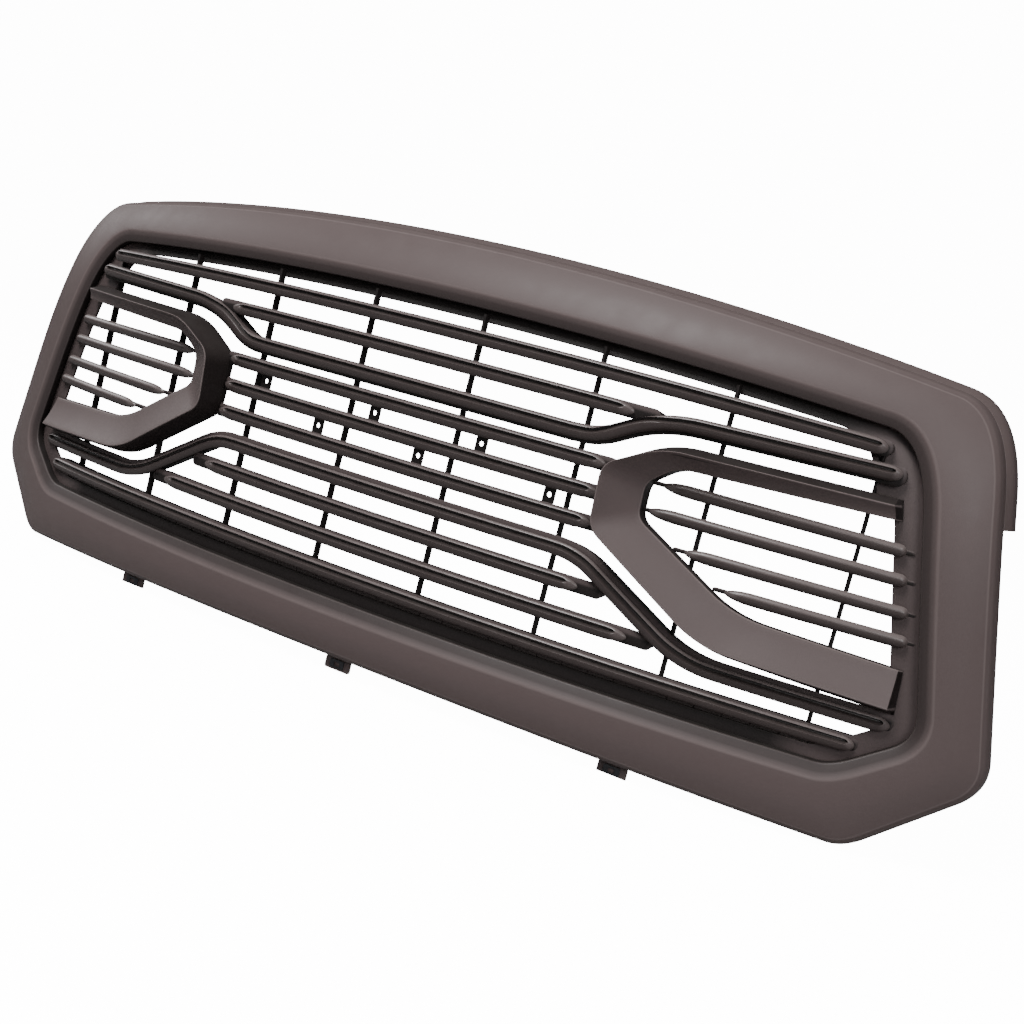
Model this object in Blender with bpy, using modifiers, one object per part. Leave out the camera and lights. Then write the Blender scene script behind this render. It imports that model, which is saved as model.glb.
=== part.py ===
"""Front grille of a pickup truck: a wide surround, a barred insert, two C-shaped bars, trims and fixings.

The object faces -Y, is wide along X and stands along Z. Every bar follows one bowed face, whose
middle is furthest forward. Run it with: blender --background --python part.py
"""

import math

import bmesh
import bpy
from mathutils import Matrix, Vector

# ---- Driving dimensions, in metres ----

# The bowed face: y = BOW * x^2 + BOW_ENDS * x^4, and the top of the surround leans back.
BOW = 0.238
BOW_ENDS = 0.147
LEAN = 3.1
LEAN_START = -0.038

# The surround's front edge: an arched top, sides that spread downwards, and chamfered lower corners.
SHELL_TOP = 0.216
SHELL_TOP_ARCH = 0.138
SHELL_HALF_WIDTH = 0.570
SHELL_SIDE_SLOPE = 0.22
SHELL_CHAMFER_Z = -0.141
SHELL_CHAMFER_X = 0.507
SHELL_BOTTOM = -0.2065
SHELL_BOTTOM_ARCH = 0.049
SHELL_CUTS = (0.076, 0.022, 0.018)

# The window in the surround, in the same terms.
WINDOW_TOP = 0.159
WINDOW_TOP_ARCH = 0.083
WINDOW_HALF_WIDTH = 0.5156
WINDOW_SIDE_SLOPE = 0.24
WINDOW_CHAMFER_Z = -0.114
WINDOW_CHAMFER_X = 0.481
WINDOW_BOTTOM = -0.1565
WINDOW_CUTS = (0.070, 0.023, 0.020)

SHELL_WALL = 0.003
SHELL_PROUD = 0.0127
LIP_WIDTH = 0.014
LIP_PROUD = 0.0165
WINDOW_PROUD = 0.0095
RETURN_DEPTH = 0.020
RETURN_FLARE = 0.007

# The rear flange under the bonnet line.
FLANGE_DEPTH = 0.026
FLANGE_FLARE = 0.006
FLANGE_WALL = 0.003
FLANGE_END_Z = 0.066

# The insert: ribs, blades and a rim, all in one moulding.
RIB_PITCH = 0.127
RIB_PLACES = (0.5, 1.5, 2.5, 3.555)
RIB_WIDTH = 0.003
RIB_FRONT = 0.007
RIB_BACK = 0.016
BLADE_DEPTH = 0.022
BLADE_HEIGHT = 0.0145
RIM_INSIDE = 0.012
RIM_OUTSIDE = 0.017
RIM_WALL = 0.004
PANEL_TOP = -0.136
PANEL_BOTTOM = -0.1525
PANEL_REACH = 0.469
PANEL_WALL = 0.0055
PANEL_SETBACK = 0.002
PANEL_SPANS = 15

# Lower edge of each long slat at its middle, from the top down. The arch lowers the ends of the upper ones.
SLAT_HEIGHTS = (0.1232, 0.0940, 0.0629, 0.0400, 0.0119, -0.0168, -0.0470, -0.0763, -0.1078, -0.1402)
SLAT_ARCH = 0.118
SLAT_ARCH_HIGH = 1.22
SLAT_TOP_REACH = 0.459
SLAT_LOW_REACH = 0.499
FREE_SLATS = {1: 0.260, 7: 0.250, 8: 0.306}
FREE_TIP = 0.023
BAR_GAP = 0.002
BAR_TUCK = 0.008
SLAT_TIP = 0.009
TIP_SIZE = 0.5
UPPER_RIBBON = ((0.2096, 0.0), (0.2654, 0.0304), (0.476, 0.0343))
LOWER_RIBBON = ((0.2153, 0.0), (0.332, -0.0680), (0.522, -0.0700))
RIBBON_CUTS = (0.020, 0.034)
RIBBON_EXTRA = 0.0035
STRIP_PROUD = 0.008
STRIP_HEIGHT = 0.0138
STRIP_END_GAP = 0.003
SHORT_HEIGHTS = (0.0432, 0.0171, -0.0108, -0.0356)
SHORT_TIP_GAP = 0.003
SHORT_OUTER = (0.493, 0.500, 0.508, 0.514)
SHORT_RADIUS = 0.0059
SHORT_TIP = 0.014
SHORT_TIP_SIZE = 0.4

# The C-shaped bars: corners of the outer and inner front edges as (x, z, height above the face).
BAR_OUTER = (
    (0.479, 0.0784, 0.0183),
    (0.281, 0.0756, 0.0370),
    (0.2315, 0.0488, 0.0363),
    (0.2318, -0.0104, 0.0300),
    (0.3508, -0.0855, 0.0252),
    (0.5185, -0.0934, 0.0204),
)
BAR_INNER = (
    (0.482, 0.0662, 0.0120),
    (0.2918, 0.0611, 0.0165),
    (0.2666, 0.0414, 0.0130),
    (0.2673, 0.0084, 0.0110),
    (0.3692, -0.0523, 0.0060),
    (0.5163, -0.0593, 0.0056),
)
BAR_CUT = 0.013
BAR_WALL = 0.0025
BAR_DRAFT = 0.006
BAR_DISH = 0.0015
PAD_WALL = 0.006
PAD_PROUD = 0.0005

# Badge plates: small drilled plates between the middle slats.
PLATE_PLACES = ((-0.174, 3), (-0.030, 3), (0.094, 3), (-0.094, 4), (0.030, 4), (0.174, 4))
PLATE_WIDTH = 0.012
PLATE_WALL = 0.003
PLATE_HOLE = 0.0026

# Fixings.
SCREW_HOLE = 0.0023
SCREW_SHANK = 0.0018
SCREW_HEAD = 0.0045
SCREW_HEAD_HEIGHT = 0.003
SCREW_GRIP = 0.008
SCREW_POINT = 0.0015
SCREW_STATIONS = (2, 6, 17, 25, 29)
BAR_SCREW_STATIONS = (1, 8, 16)
BOSS_RADIUS = 0.0042
BOSS_INSET = 0.0095
LOWER_CLIPS = (-0.300, 0.0, 0.300)
HOOK_WIDTH = 0.030
HOOK_DROP = 0.009
HOOK_WALL = 0.003
HOOK_DEPTH_SHARE = 0.8
CLIP_WIDTH = 0.0165
CLIP_WALL = 0.001
TOP_TABS = (-0.360, -0.125, 0.125, 0.360)
TAB_WIDTH = 0.036
TAB_LENGTH = 0.0217
TAB_WALL = 0.003
TAB_HOLE = 0.0042
TAB_HOLE_INSET = 0.012
TAB_OVERLAP = 0.0143
RETAINER_HEAD = 0.009
RETAINER_HEAD_HEIGHT = 0.002
RETAINER_GRIP = 0.004
RETAINER_LENGTH = 0.016
RETAINER_POINT = 0.0018

# Two pieces that touch keep this clearance.
CLEARANCE = 0.0004
ROUND_STEPS = 8
SHARP_ANGLE = math.radians(40)

# ---- Scene, collections and materials ----

for old in list(bpy.data.objects):
    bpy.data.objects.remove(old, do_unlink=True)

parts = bpy.data.collections.new("front_grille")
tools = bpy.data.collections.new("cutters")
bpy.context.scene.collection.children.link(parts)
bpy.context.scene.collection.children.link(tools)
root = bpy.data.objects.new("grille_root", None)
parts.objects.link(root)


def material(name, colour, roughness, metallic=0.0):
    made = bpy.data.materials.new(name)
    made.use_nodes = True
    shader = made.node_tree.nodes["Principled BSDF"]
    shader.inputs["Base Color"].default_value = (*colour, 1.0)
    shader.inputs["Roughness"].default_value = roughness
    shader.inputs["Metallic"].default_value = metallic
    return made


SATIN_PAINT = material("satin_dark_paint", (0.085, 0.068, 0.066), 0.45)
MOULDED_BLACK = material("moulded_black_plastic", (0.035, 0.029, 0.028), 0.55)
TRIM_PAINT = material("satin_trim_paint", (0.060, 0.048, 0.047), 0.40)
ZINC_STEEL = material("zinc_plated_steel", (0.55, 0.54, 0.50), 0.35, 0.9)
SPRING_STEEL = material("black_spring_steel", (0.06, 0.06, 0.065), 0.35, 0.8)
NYLON = material("white_nylon", (0.70, 0.69, 0.65), 0.5)


# ---- The shared face and outlines ----


def bow(x):
    return BOW * x * x + BOW_ENDS * x**4


def lean(z):
    return LEAN * max(0.0, z - LEAN_START) ** 3


def face(x, z, proud=0.0):
    """A point of the surround's leaning face, standing proud of it towards the front."""
    return Vector((x, bow(x) + lean(z) - proud, z))


def insert_point(x, z, proud=0.0):
    """A point of the insert's upright face."""
    return Vector((x, bow(x) - proud, z))


def rounded(points, cuts, steps):
    """A path through the points, with each inner corner cut back and replaced by a smooth bend."""
    points = [Vector(point) for point in points]
    path = [points[0]]
    for before, corner, after, cut in zip(points, points[1:], points[2:], cuts):
        start = corner + (before - corner).normalized() * cut
        end = corner + (after - corner).normalized() * cut
        for step in range(steps + 1):
            t = step / steps
            path.append(start * (1 - t) ** 2 + corner * 2 * t * (1 - t) + end * t * t)
    path.append(points[-1])
    return path


def outline(top, arch, half_width, slope, chamfer_z, chamfer_x, bottom, bottom_arch, cuts):
    """A closed (x, z) loop, clockwise from the top middle: arched top, sloping sides, cut lower corners."""

    def top_z(x):
        return top - arch * x * x

    def bottom_z(x):
        return bottom - bottom_arch * x * x

    corner_x = half_width
    for _ in range(20):
        corner_x = half_width - slope * top_z(corner_x)
    arch_end = corner_x - cuts[0] * 1.02
    floor_end = chamfer_x - cuts[2] * 1.4
    corners = [
        (arch_end, top_z(arch_end)),
        (corner_x, top_z(corner_x)),
        (half_width - slope * chamfer_z, chamfer_z),
        (chamfer_x, bottom_z(chamfer_x)),
        (floor_end, bottom_z(floor_end)),
    ]
    bend = rounded(corners, cuts, 6)
    side_top, side_bottom = bend[7], bend[8]
    side = [side_top.lerp(side_bottom, share) for share in (0.25, 0.5, 0.75)]
    top_run = [Vector((arch_end * step / 8, top_z(arch_end * step / 8))) for step in range(8)]
    floor_places = [floor_end * (7 - step) / 8 for step in range(8)]
    floor_run = [Vector((x, bottom_z(x))) for x in floor_places]
    right = top_run + bend[:8] + side + bend[8:] + floor_run
    left = [Vector((-point.x, point.y)) for point in reversed(right[1:-1])]
    return right + left


def shell_outline():
    return outline(
        SHELL_TOP, SHELL_TOP_ARCH, SHELL_HALF_WIDTH, SHELL_SIDE_SLOPE, SHELL_CHAMFER_Z, SHELL_CHAMFER_X,
        SHELL_BOTTOM, SHELL_BOTTOM_ARCH, SHELL_CUTS,
    )


def window_outline():
    return outline(
        WINDOW_TOP, WINDOW_TOP_ARCH, WINDOW_HALF_WIDTH, WINDOW_SIDE_SLOPE, WINDOW_CHAMFER_Z, WINDOW_CHAMFER_X,
        WINDOW_BOTTOM, 0.0, WINDOW_CUTS,
    )


def grown(loop, distance):
    """The (x, z) loop moved outwards along its own normals."""
    count = len(loop)
    moved = []
    for index, point in enumerate(loop):
        along = (loop[(index + 1) % count] - loop[index - 1]).normalized()
        moved.append(point + Vector((-along.y, along.x)) * distance)
    return moved


# ---- Mesh helpers ----


def link(name, mesh, finish, collection=None):
    made = bpy.data.objects.new(name, mesh)
    (collection or parts).objects.link(made)
    if finish:
        mesh.materials.append(finish)
    if collection is tools:
        made.hide_render = True
        made.display_type = "WIRE"
    made.parent = root
    return made


def add_loft(shape, rings, loop_rings=False, capped=False):
    """Quads between neighbouring rings of the same length, in a bmesh."""
    rows = [[shape.verts.new(point) for point in ring] for ring in rings]
    pairs = list(zip(rows, rows[1:])) + ([(rows[-1], rows[0])] if loop_rings else [])
    for near, far in pairs:
        for index in range(len(near)):
            after = (index + 1) % len(near)
            shape.faces.new((near[index], far[index], far[after], near[after]))
    if capped:
        shape.faces.new(rows[0])
        shape.faces.new(reversed(rows[-1]))


def finished(shape, name, outward=True):
    if outward:
        bmesh.ops.recalc_face_normals(shape, faces=shape.faces)
    mesh = bpy.data.meshes.new(name)
    shape.to_mesh(mesh)
    shape.free()
    mesh.shade_smooth()
    mesh.set_sharp_from_angle(angle=SHARP_ANGLE)
    return mesh


def add_box(shape, low, high):
    low, high = Vector(low), Vector(high)
    scale = Matrix.Diagonal((*(high - low), 1.0))
    bmesh.ops.create_cube(shape, size=1.0, matrix=Matrix.Translation((low + high) / 2) @ scale)


def add_rod(shape, x, z, front, back, radius):
    """A round rod along Y from front to back."""
    place = Matrix.Translation((x, (front + back) / 2, z)) @ Matrix.Rotation(math.pi / 2, 4, "X")
    bmesh.ops.create_cone(
        shape, cap_ends=True, segments=ROUND_STEPS, radius1=radius, radius2=radius, depth=back - front,
        matrix=place,
    )


def combine(target, tool_shape, name, operation):
    tool = link(name, finished(tool_shape, name), None, tools)
    change = target.modifiers.new(name, "BOOLEAN")
    change.operation = operation
    change.object = tool
    return tool


def add_sweep(shape, path, section, scales=None):
    """A bar along an (x, z) path. The section is (height along the path's normal, proud) points."""
    heights = [height for height, _ in section]
    middle = (max(heights) + min(heights)) / 2
    rings = []
    for index, point in enumerate(path):
        before = path[max(index - 1, 0)]
        after = path[min(index + 1, len(path) - 1)]
        along = (after - before).normalized()
        up = Vector((-along.y, along.x))
        size = scales[index] if scales else 1.0
        ring = []
        for height, proud in section:
            spot = point + up * (middle + (height - middle) * size)
            ring.append(insert_point(*spot, proud * size if proud > 0 else proud))
        rings.append(ring)
    add_loft(shape, rings, capped=True)


# ---- Slat paths ----


def arched(height, x):
    return height - (SLAT_ARCH * height + SLAT_ARCH_HIGH * height * height) * x * x


def straight_path(height, start, end):
    """The slat's lower edge, with a point at each half pitch of the ribs between its ends."""
    half = RIB_PITCH / 2
    first = math.floor(start / half) + 1
    last = math.ceil(end / half) - 1
    inner = [index * half for index in range(first, last + 1)]
    inner = [x for x in inner if x - start > SLAT_TIP * 1.3 and end - x > SLAT_TIP * 1.3]
    return [Vector((x, arched(height, x))) for x in [start, *inner, end]]


def ribbon_path(height, turns, setback):
    """A slat that steps round the C-shaped bar at each end. The turns are x and the rise from the middle."""
    first, second, last = [Vector((x, height + rise)) for x, rise in turns]
    last.x -= setback
    start = Vector((first.x - RIB_PITCH / 2, height))
    bend = rounded([start, first, second, last], RIBBON_CUTS, 3)
    run = [bend[-2].lerp(last, share) for share in (0.33, 0.67, 1.0)]
    right = bend[1:-1] + run
    left = [Vector((-point.x, point.y)) for point in reversed(right)]
    return left + straight_path(height, left[-1].x, right[0].x)[1:-1] + right


def between_bars_reach():
    """How far the middle slats run before they meet the wider base of the C-shaped bars."""
    outer, _ = bar_edges()
    return min(point.x for point in outer) - BAR_GAP


def slat_path(index, setback=0.0):
    """The lower edge of a long slat, ending short of its full length by the setback."""
    height = SLAT_HEIGHTS[index]
    if index == 2:
        return ribbon_path(height, UPPER_RIBBON, setback)
    if index == 6:
        return ribbon_path(height, LOWER_RIBBON, setback)
    if index in FREE_SLATS:
        reach = FREE_SLATS[index]
    elif 3 <= index <= 5:
        reach = between_bars_reach()
    else:
        reach = SLAT_TOP_REACH if index == 0 else SLAT_LOW_REACH
    return straight_path(height, setback - reach, reach - setback)


def with_tips(path, tip, size):
    """The path with a point added just inside each end, and the section's size at every point."""
    near = path[0] + (path[1] - path[0]).normalized() * tip
    far = path[-1] + (path[-2] - path[-1]).normalized() * tip
    longer = [path[0], near, *path[1:-1], far, path[-1]]
    return longer, [size, *[1.0] * (len(longer) - 2), size]


# ---- Sub-parts ----


def make_surround():
    shell, window = shell_outline(), window_outline()
    lip = grown(window, LIP_WIDTH)
    crown = [a.lerp(b, 0.5) for a, b in zip(shell, lip)]
    levels = (
        (grown(shell, RETURN_FLARE), SHELL_PROUD - RETURN_DEPTH),
        (grown(shell, RETURN_FLARE * 0.9), SHELL_PROUD - RETURN_DEPTH * 0.3),
        (grown(shell, RETURN_FLARE * 0.4), SHELL_PROUD - RETURN_DEPTH * 0.06),
        (shell, SHELL_PROUD),
        (crown, (SHELL_PROUD + LIP_PROUD) / 2 + 0.002),
        (lip, LIP_PROUD),
        (grown(window, LIP_WIDTH * 0.75), LIP_PROUD - 0.002),
        (window, WINDOW_PROUD),
        (grown(window, -CLEARANCE), CLEARANCE),
    )
    shape = bmesh.new()
    add_loft(shape, [[face(x, z, proud) for x, z in loop] for loop, proud in levels])
    mesh = finished(shape, "surround", outward=False)
    surround = link("surround", mesh, SATIN_PAINT)
    wall = surround.modifiers.new("wall", "SOLIDIFY")
    wall.thickness = SHELL_WALL
    wall.offset = -1.0
    wall.use_even_offset = True

    bosses, holes = bmesh.new(), bmesh.new()
    for x, z in screw_places():
        base = face(x, z).y
        add_rod(bosses, x, z, base - WINDOW_PROUD - 0.0015, base - 0.0022, BOSS_RADIUS)
        add_rod(holes, x, z, base - WINDOW_PROUD + 0.0006, base, SCREW_HOLE)
    combine(surround, bosses, "surround_bosses", "UNION")
    hooks = bmesh.new()
    for x in LOWER_CLIPS:
        low, high = hook_box(x)
        add_box(hooks, low, high)
    combine(surround, hooks, "surround_hooks", "UNION")
    combine(surround, holes, "surround_boss_holes", "DIFFERENCE")
    return surround


def hook_box(x):
    """A tab that drops from the rear edge of the surround's floor."""
    floor = SHELL_BOTTOM - SHELL_BOTTOM_ARCH * x * x - RETURN_FLARE
    back = bow(x) + lean(floor) - SHELL_PROUD + RETURN_DEPTH * HOOK_DEPTH_SHARE
    return (
        (x - HOOK_WIDTH / 2, back - HOOK_WALL, floor - HOOK_DROP),
        (x + HOOK_WIDTH / 2, back, floor + SHELL_WALL * 0.5),
    )


def screw_places():
    """Insert screws: four above, four below and one at each side, on the rim outside the window."""
    line = grown(window_outline(), BOSS_INSET)
    right = [line[index] for index in SCREW_STATIONS]
    return [(x, z) for x, z in right] + [(-x, z) for x, z in right]


def make_insert_carrier():
    window = window_outline()
    outer, inner = grown(window, RIM_OUTSIDE), grown(window, -RIM_INSIDE)
    shape = bmesh.new()
    rows = []
    for loop, depth in ((inner, CLEARANCE), (outer, CLEARANCE), (outer, RIM_WALL), (inner, RIM_WALL)):
        rows.append([face(x, z, -depth) for x, z in loop])
    add_loft(shape, rows, loop_rings=True)
    carrier = link("insert_carrier", finished(shape, "insert_carrier"), MOULDED_BLACK)

    blades = bmesh.new()
    for index in range(len(SLAT_HEIGHTS)):
        low = -RIBBON_EXTRA if index == 2 else 0.0
        high = BLADE_HEIGHT + (RIBBON_EXTRA if index == 6 else 0.0)
        section = ((low, 0.0), (high, 0.0), (high - 0.0015, -BLADE_DEPTH), (low + 0.002, -BLADE_DEPTH))
        path, sizes = with_tips(slat_path(index, -BAR_TUCK if 3 <= index <= 5 else 0.0), SLAT_TIP, TIP_SIZE)
        add_sweep(blades, path, section, scales=sizes)
    combine(carrier, blades, "carrier_blades", "UNION")

    ribs = bmesh.new()
    for place in RIB_PLACES:
        for x in (-place * RIB_PITCH, place * RIB_PITCH):
            top = WINDOW_TOP - WINDOW_TOP_ARCH * x * x - RIM_INSIDE * 0.4
            if place > 3:
                top = arched(SLAT_HEIGHTS[0], x) + BLADE_HEIGHT / 2
            add_box(
                ribs,
                (x - RIB_WIDTH / 2, bow(x) + RIB_FRONT, WINDOW_BOTTOM + RIM_INSIDE * 0.5),
                (x + RIB_WIDTH / 2, bow(x) + RIB_BACK, top),
            )
    combine(carrier, ribs, "carrier_ribs", "UNION")

    pads = bmesh.new()
    for side in (-1, 1):
        outer_edge, inner_edge = bar_edges(side)
        rings = []
        for out, ins in zip(outer_edge, inner_edge):
            rings.append([
                insert_point(out.x, out.y, PAD_PROUD),
                insert_point(ins.x, ins.y, PAD_PROUD),
                insert_point(ins.x, ins.y, PAD_PROUD - PAD_WALL),
                insert_point(out.x, out.y, PAD_PROUD - PAD_WALL),
            ])
        add_loft(pads, rings, capped=True)
    rise = PANEL_TOP - PANEL_BOTTOM
    back = PANEL_SETBACK + PANEL_WALL
    panel_section = ((0.0, -PANEL_SETBACK), (rise, -PANEL_SETBACK), (rise, -back), (0.0, -back))
    panel_path = [
        Vector((PANEL_REACH * (2 * step / PANEL_SPANS - 1), PANEL_BOTTOM)) for step in range(PANEL_SPANS + 1)
    ]
    add_sweep(pads, panel_path, panel_section)
    combine(carrier, pads, "carrier_pads", "UNION")

    short = bmesh.new()
    section = ((-0.002, -0.0003), (0.002, -0.0003), (0.002, -BLADE_DEPTH * 0.8), (-0.002, -BLADE_DEPTH * 0.8))
    for index, (height, outer_x) in enumerate(zip(SHORT_HEIGHTS, SHORT_OUTER)):
        for side in (-1, 1):
            ends = sorted((side * (short_inner_end(index) - 0.012), side * (outer_x + 0.006)))
            add_sweep(short, straight_path(height, *ends), section)
    combine(carrier, short, "carrier_short_blades", "UNION")

    plates, holes = bmesh.new(), bmesh.new()
    for x, index in PLATE_PLACES:
        low, high = SLAT_HEIGHTS[index + 1] + BLADE_HEIGHT * 0.7, SLAT_HEIGHTS[index] + BLADE_HEIGHT * 0.3
        front = bow(x) + 0.004
        add_box(plates, (x - PLATE_WIDTH / 2, front, low), (x + PLATE_WIDTH / 2, front + PLATE_WALL, high))
        add_rod(holes, x, (low + high) / 2, front - 0.002, front + PLATE_WALL + 0.002, PLATE_HOLE)
    combine(carrier, plates, "carrier_badge_plates", "UNION")
    for x, z in screw_places():
        base = face(x, z).y
        add_rod(holes, x, z, base - 0.004, base + RIM_WALL + 0.004, SCREW_HOLE)
    for side in (-1, 1):
        for x, z in bar_screw_places(side):
            add_rod(holes, x, z, bow(x) - 0.004, bow(x) + PAD_WALL + 0.02, SCREW_HOLE)
    combine(carrier, holes, "carrier_holes", "DIFFERENCE")
    return carrier


def bar_edges(side=1, draft=True):
    """Matching points of the bar's outer and inner edges as (x, z, proud), the outer one at its wider base."""
    outer = rounded(BAR_OUTER, (BAR_CUT * 1.6, BAR_CUT, BAR_CUT, BAR_CUT * 2.2), 3)
    inner = rounded(BAR_INNER, (BAR_CUT, BAR_CUT * 0.7, BAR_CUT * 0.7, BAR_CUT * 2.2), 3)
    if draft:
        base = []
        for index, (out, ins) in enumerate(zip(outer, inner)):
            away = Vector((out.x - ins.x, out.y - ins.y)).normalized() * BAR_DRAFT
            base.append(Vector((out.x + away.x, out.y + away.y, out.z)))
        outer = base
    for edge in (outer, inner):
        for point in edge:
            point.x *= side
    return outer, inner


def short_inner_end(index):
    """Where a short slat ends beside the inner edge of the C-shaped bar, clear of it over the slat's height."""
    _, edge = bar_edges()
    height = SHORT_HEIGHTS[index]
    reached = []
    for near, far in zip(edge, edge[1:]):
        for step in range(9):
            spot = near.lerp(far, step / 8)
            if abs(spot.y - height) <= SHORT_RADIUS * 1.1 and spot.x < BAR_INNER[-1][0] * 0.8:
                reached.append(spot.x)
    return max(reached) + SHORT_TIP_GAP


def bar_screw_places(side):
    """One screw near each end of the C-shaped bar and one in its nose."""
    outer, inner = bar_edges(side, draft=False)
    places = []
    for index in BAR_SCREW_STATIONS:
        middle = outer[index].lerp(inner[index], 0.5)
        places.append((middle.x, middle.y))
    return places


def make_c_bar(name, side):
    front_outer, front_inner = bar_edges(side, draft=False)
    base_outer, _ = bar_edges(side)
    rest = PAD_PROUD + CLEARANCE
    rings = []
    for top, ins, base in zip(front_outer, front_inner, base_outer):
        across = Vector((ins.x - top.x, ins.y - top.y)).normalized()

        def spot(anchor, inset, proud):
            return insert_point(anchor.x + across.x * inset, anchor.y + across.y * inset, proud)

        middle = top.lerp(ins, 0.5)
        rings.append([
            spot(base, 0.0, rest),
            spot(top, 0.0, top.z),
            spot(middle, 0.0, middle.z - BAR_DISH),
            spot(ins, 0.0, ins.z),
            spot(ins, 0.0, rest),
            spot(ins, -BAR_WALL, rest),
            spot(ins, -BAR_WALL, ins.z - BAR_WALL),
            spot(middle, 0.0, middle.z - BAR_DISH - BAR_WALL),
            spot(top, BAR_WALL, top.z - BAR_WALL * 1.4),
            spot(base, BAR_WALL, rest),
        ])
    shape = bmesh.new()
    add_loft(shape, rings, capped=True)
    bar = link(name, finished(shape, name), SATIN_PAINT)
    bosses, holes = bmesh.new(), bmesh.new()
    for x, z in bar_screw_places(side):
        top = bow(x) - bar_height(side, x, z) + BAR_DISH
        add_rod(bosses, x, z, top + BAR_WALL * 0.4, bow(x) - 0.0028, BOSS_RADIUS)
        add_rod(holes, x, z, bow(x) - 0.0062, bow(x), SCREW_HOLE)
    combine(bar, bosses, name + "_bosses", "UNION")
    combine(bar, holes, name + "_boss_holes", "DIFFERENCE")
    return bar


def bar_height(side, x, z):
    """How far the bar's front stands above the face at one of its screws."""
    outer, inner = bar_edges(side, draft=False)
    nearest = min(
        zip(outer, inner), key=lambda pair: (pair[0].lerp(pair[1], 0.5).xy - Vector((x, z))).length
    )
    return nearest[0].lerp(nearest[1], 0.5).z


def make_strip(index):
    """The trim that clips over a long blade: a rounded bead below, a groove, and a narrow ridge above."""
    name = f"slat_trim_{index + 1:02d}"
    free = index in FREE_SLATS
    setback = 0.0 if 3 <= index <= 5 else STRIP_END_GAP
    path, sizes = with_tips(slat_path(index, FREE_TIP if free else setback), SLAT_TIP, TIP_SIZE)
    high = STRIP_HEIGHT
    section = (
        (0.0, CLEARANCE),
        (high, CLEARANCE),
        (high * 0.86, STRIP_PROUD * 0.62),
        (high * 0.76, STRIP_PROUD * 0.42),
        (high * 0.66, STRIP_PROUD * 0.70),
        (high * 0.36, STRIP_PROUD),
        (high * 0.03, STRIP_PROUD * 0.85),
    )
    shape = bmesh.new()
    add_sweep(shape, path, section, scales=sizes)
    return link(name, finished(shape, name), TRIM_PAINT)


def make_short_strip(index, side):
    """The rounded trim on a short blade inside the C-shaped bar."""
    name = f"short_trim_{'left' if side < 0 else 'right'}_{index + 1}"
    ends = sorted((side * short_inner_end(index), side * SHORT_OUTER[index]))
    path = straight_path(SHORT_HEIGHTS[index], *ends)
    radius = SHORT_RADIUS
    section = [(-radius * 0.8, CLEARANCE), (radius * 0.8, CLEARANCE)]
    for step in range(5):
        angle = math.pi * step / 4
        section.append((radius * math.cos(angle), 0.0025 + radius * math.sin(angle)))
    path, sizes = with_tips(path, SHORT_TIP, SHORT_TIP_SIZE)
    shape = bmesh.new()
    add_sweep(shape, path, section, scales=sizes)
    return link(name, finished(shape, name), TRIM_PAINT)


def turned(name, profile, finish, place, tilt=0.0):
    """A turned piece. Its profile is (radius, height) points from the top, down its outer side, to the axis."""
    mesh = bpy.data.meshes.new(name)
    points = [(radius, 0.0, height) for radius, height in profile]
    mesh.from_pydata(points, [(index, index + 1) for index in range(len(points) - 1)], [])
    made = link(name, mesh, finish)
    made.location = place
    made.rotation_euler.x = tilt
    turn = made.modifiers.new("turn", "SCREW")
    turn.steps = ROUND_STEPS
    turn.render_steps = ROUND_STEPS
    turn.use_merge_vertices = True
    turn.merge_threshold = 0.00001
    turn.use_smooth_shade = True
    return made


def head_room(surface, x, z):
    """How far a screw's flat head stands off a sloping face, over its own radius."""
    across = (surface(x + SCREW_HEAD, z) - surface(x - SCREW_HEAD, z)).y / 2
    up = (surface(x, z + SCREW_HEAD) - surface(x, z - SCREW_HEAD)).y / 2
    return abs(across) + abs(up)


def make_screw(name, x, z, seat):
    """A pan-head screw driven forwards from behind. The seat is the y of the face under its head."""
    profile = (
        (0.0, SCREW_GRIP),
        (SCREW_SHANK * 0.5, SCREW_GRIP),
        (SCREW_SHANK, SCREW_GRIP - SCREW_POINT),
        (SCREW_SHANK, 0.0),
        (SCREW_HEAD, 0.0),
        (SCREW_HEAD, -SCREW_HEAD_HEIGHT * 0.6),
        (SCREW_HEAD * 0.6, -SCREW_HEAD_HEIGHT),
        (0.0, -SCREW_HEAD_HEIGHT),
    )
    return turned(name, profile, ZINC_STEEL, (x, seat, z), math.pi / 2)


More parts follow.
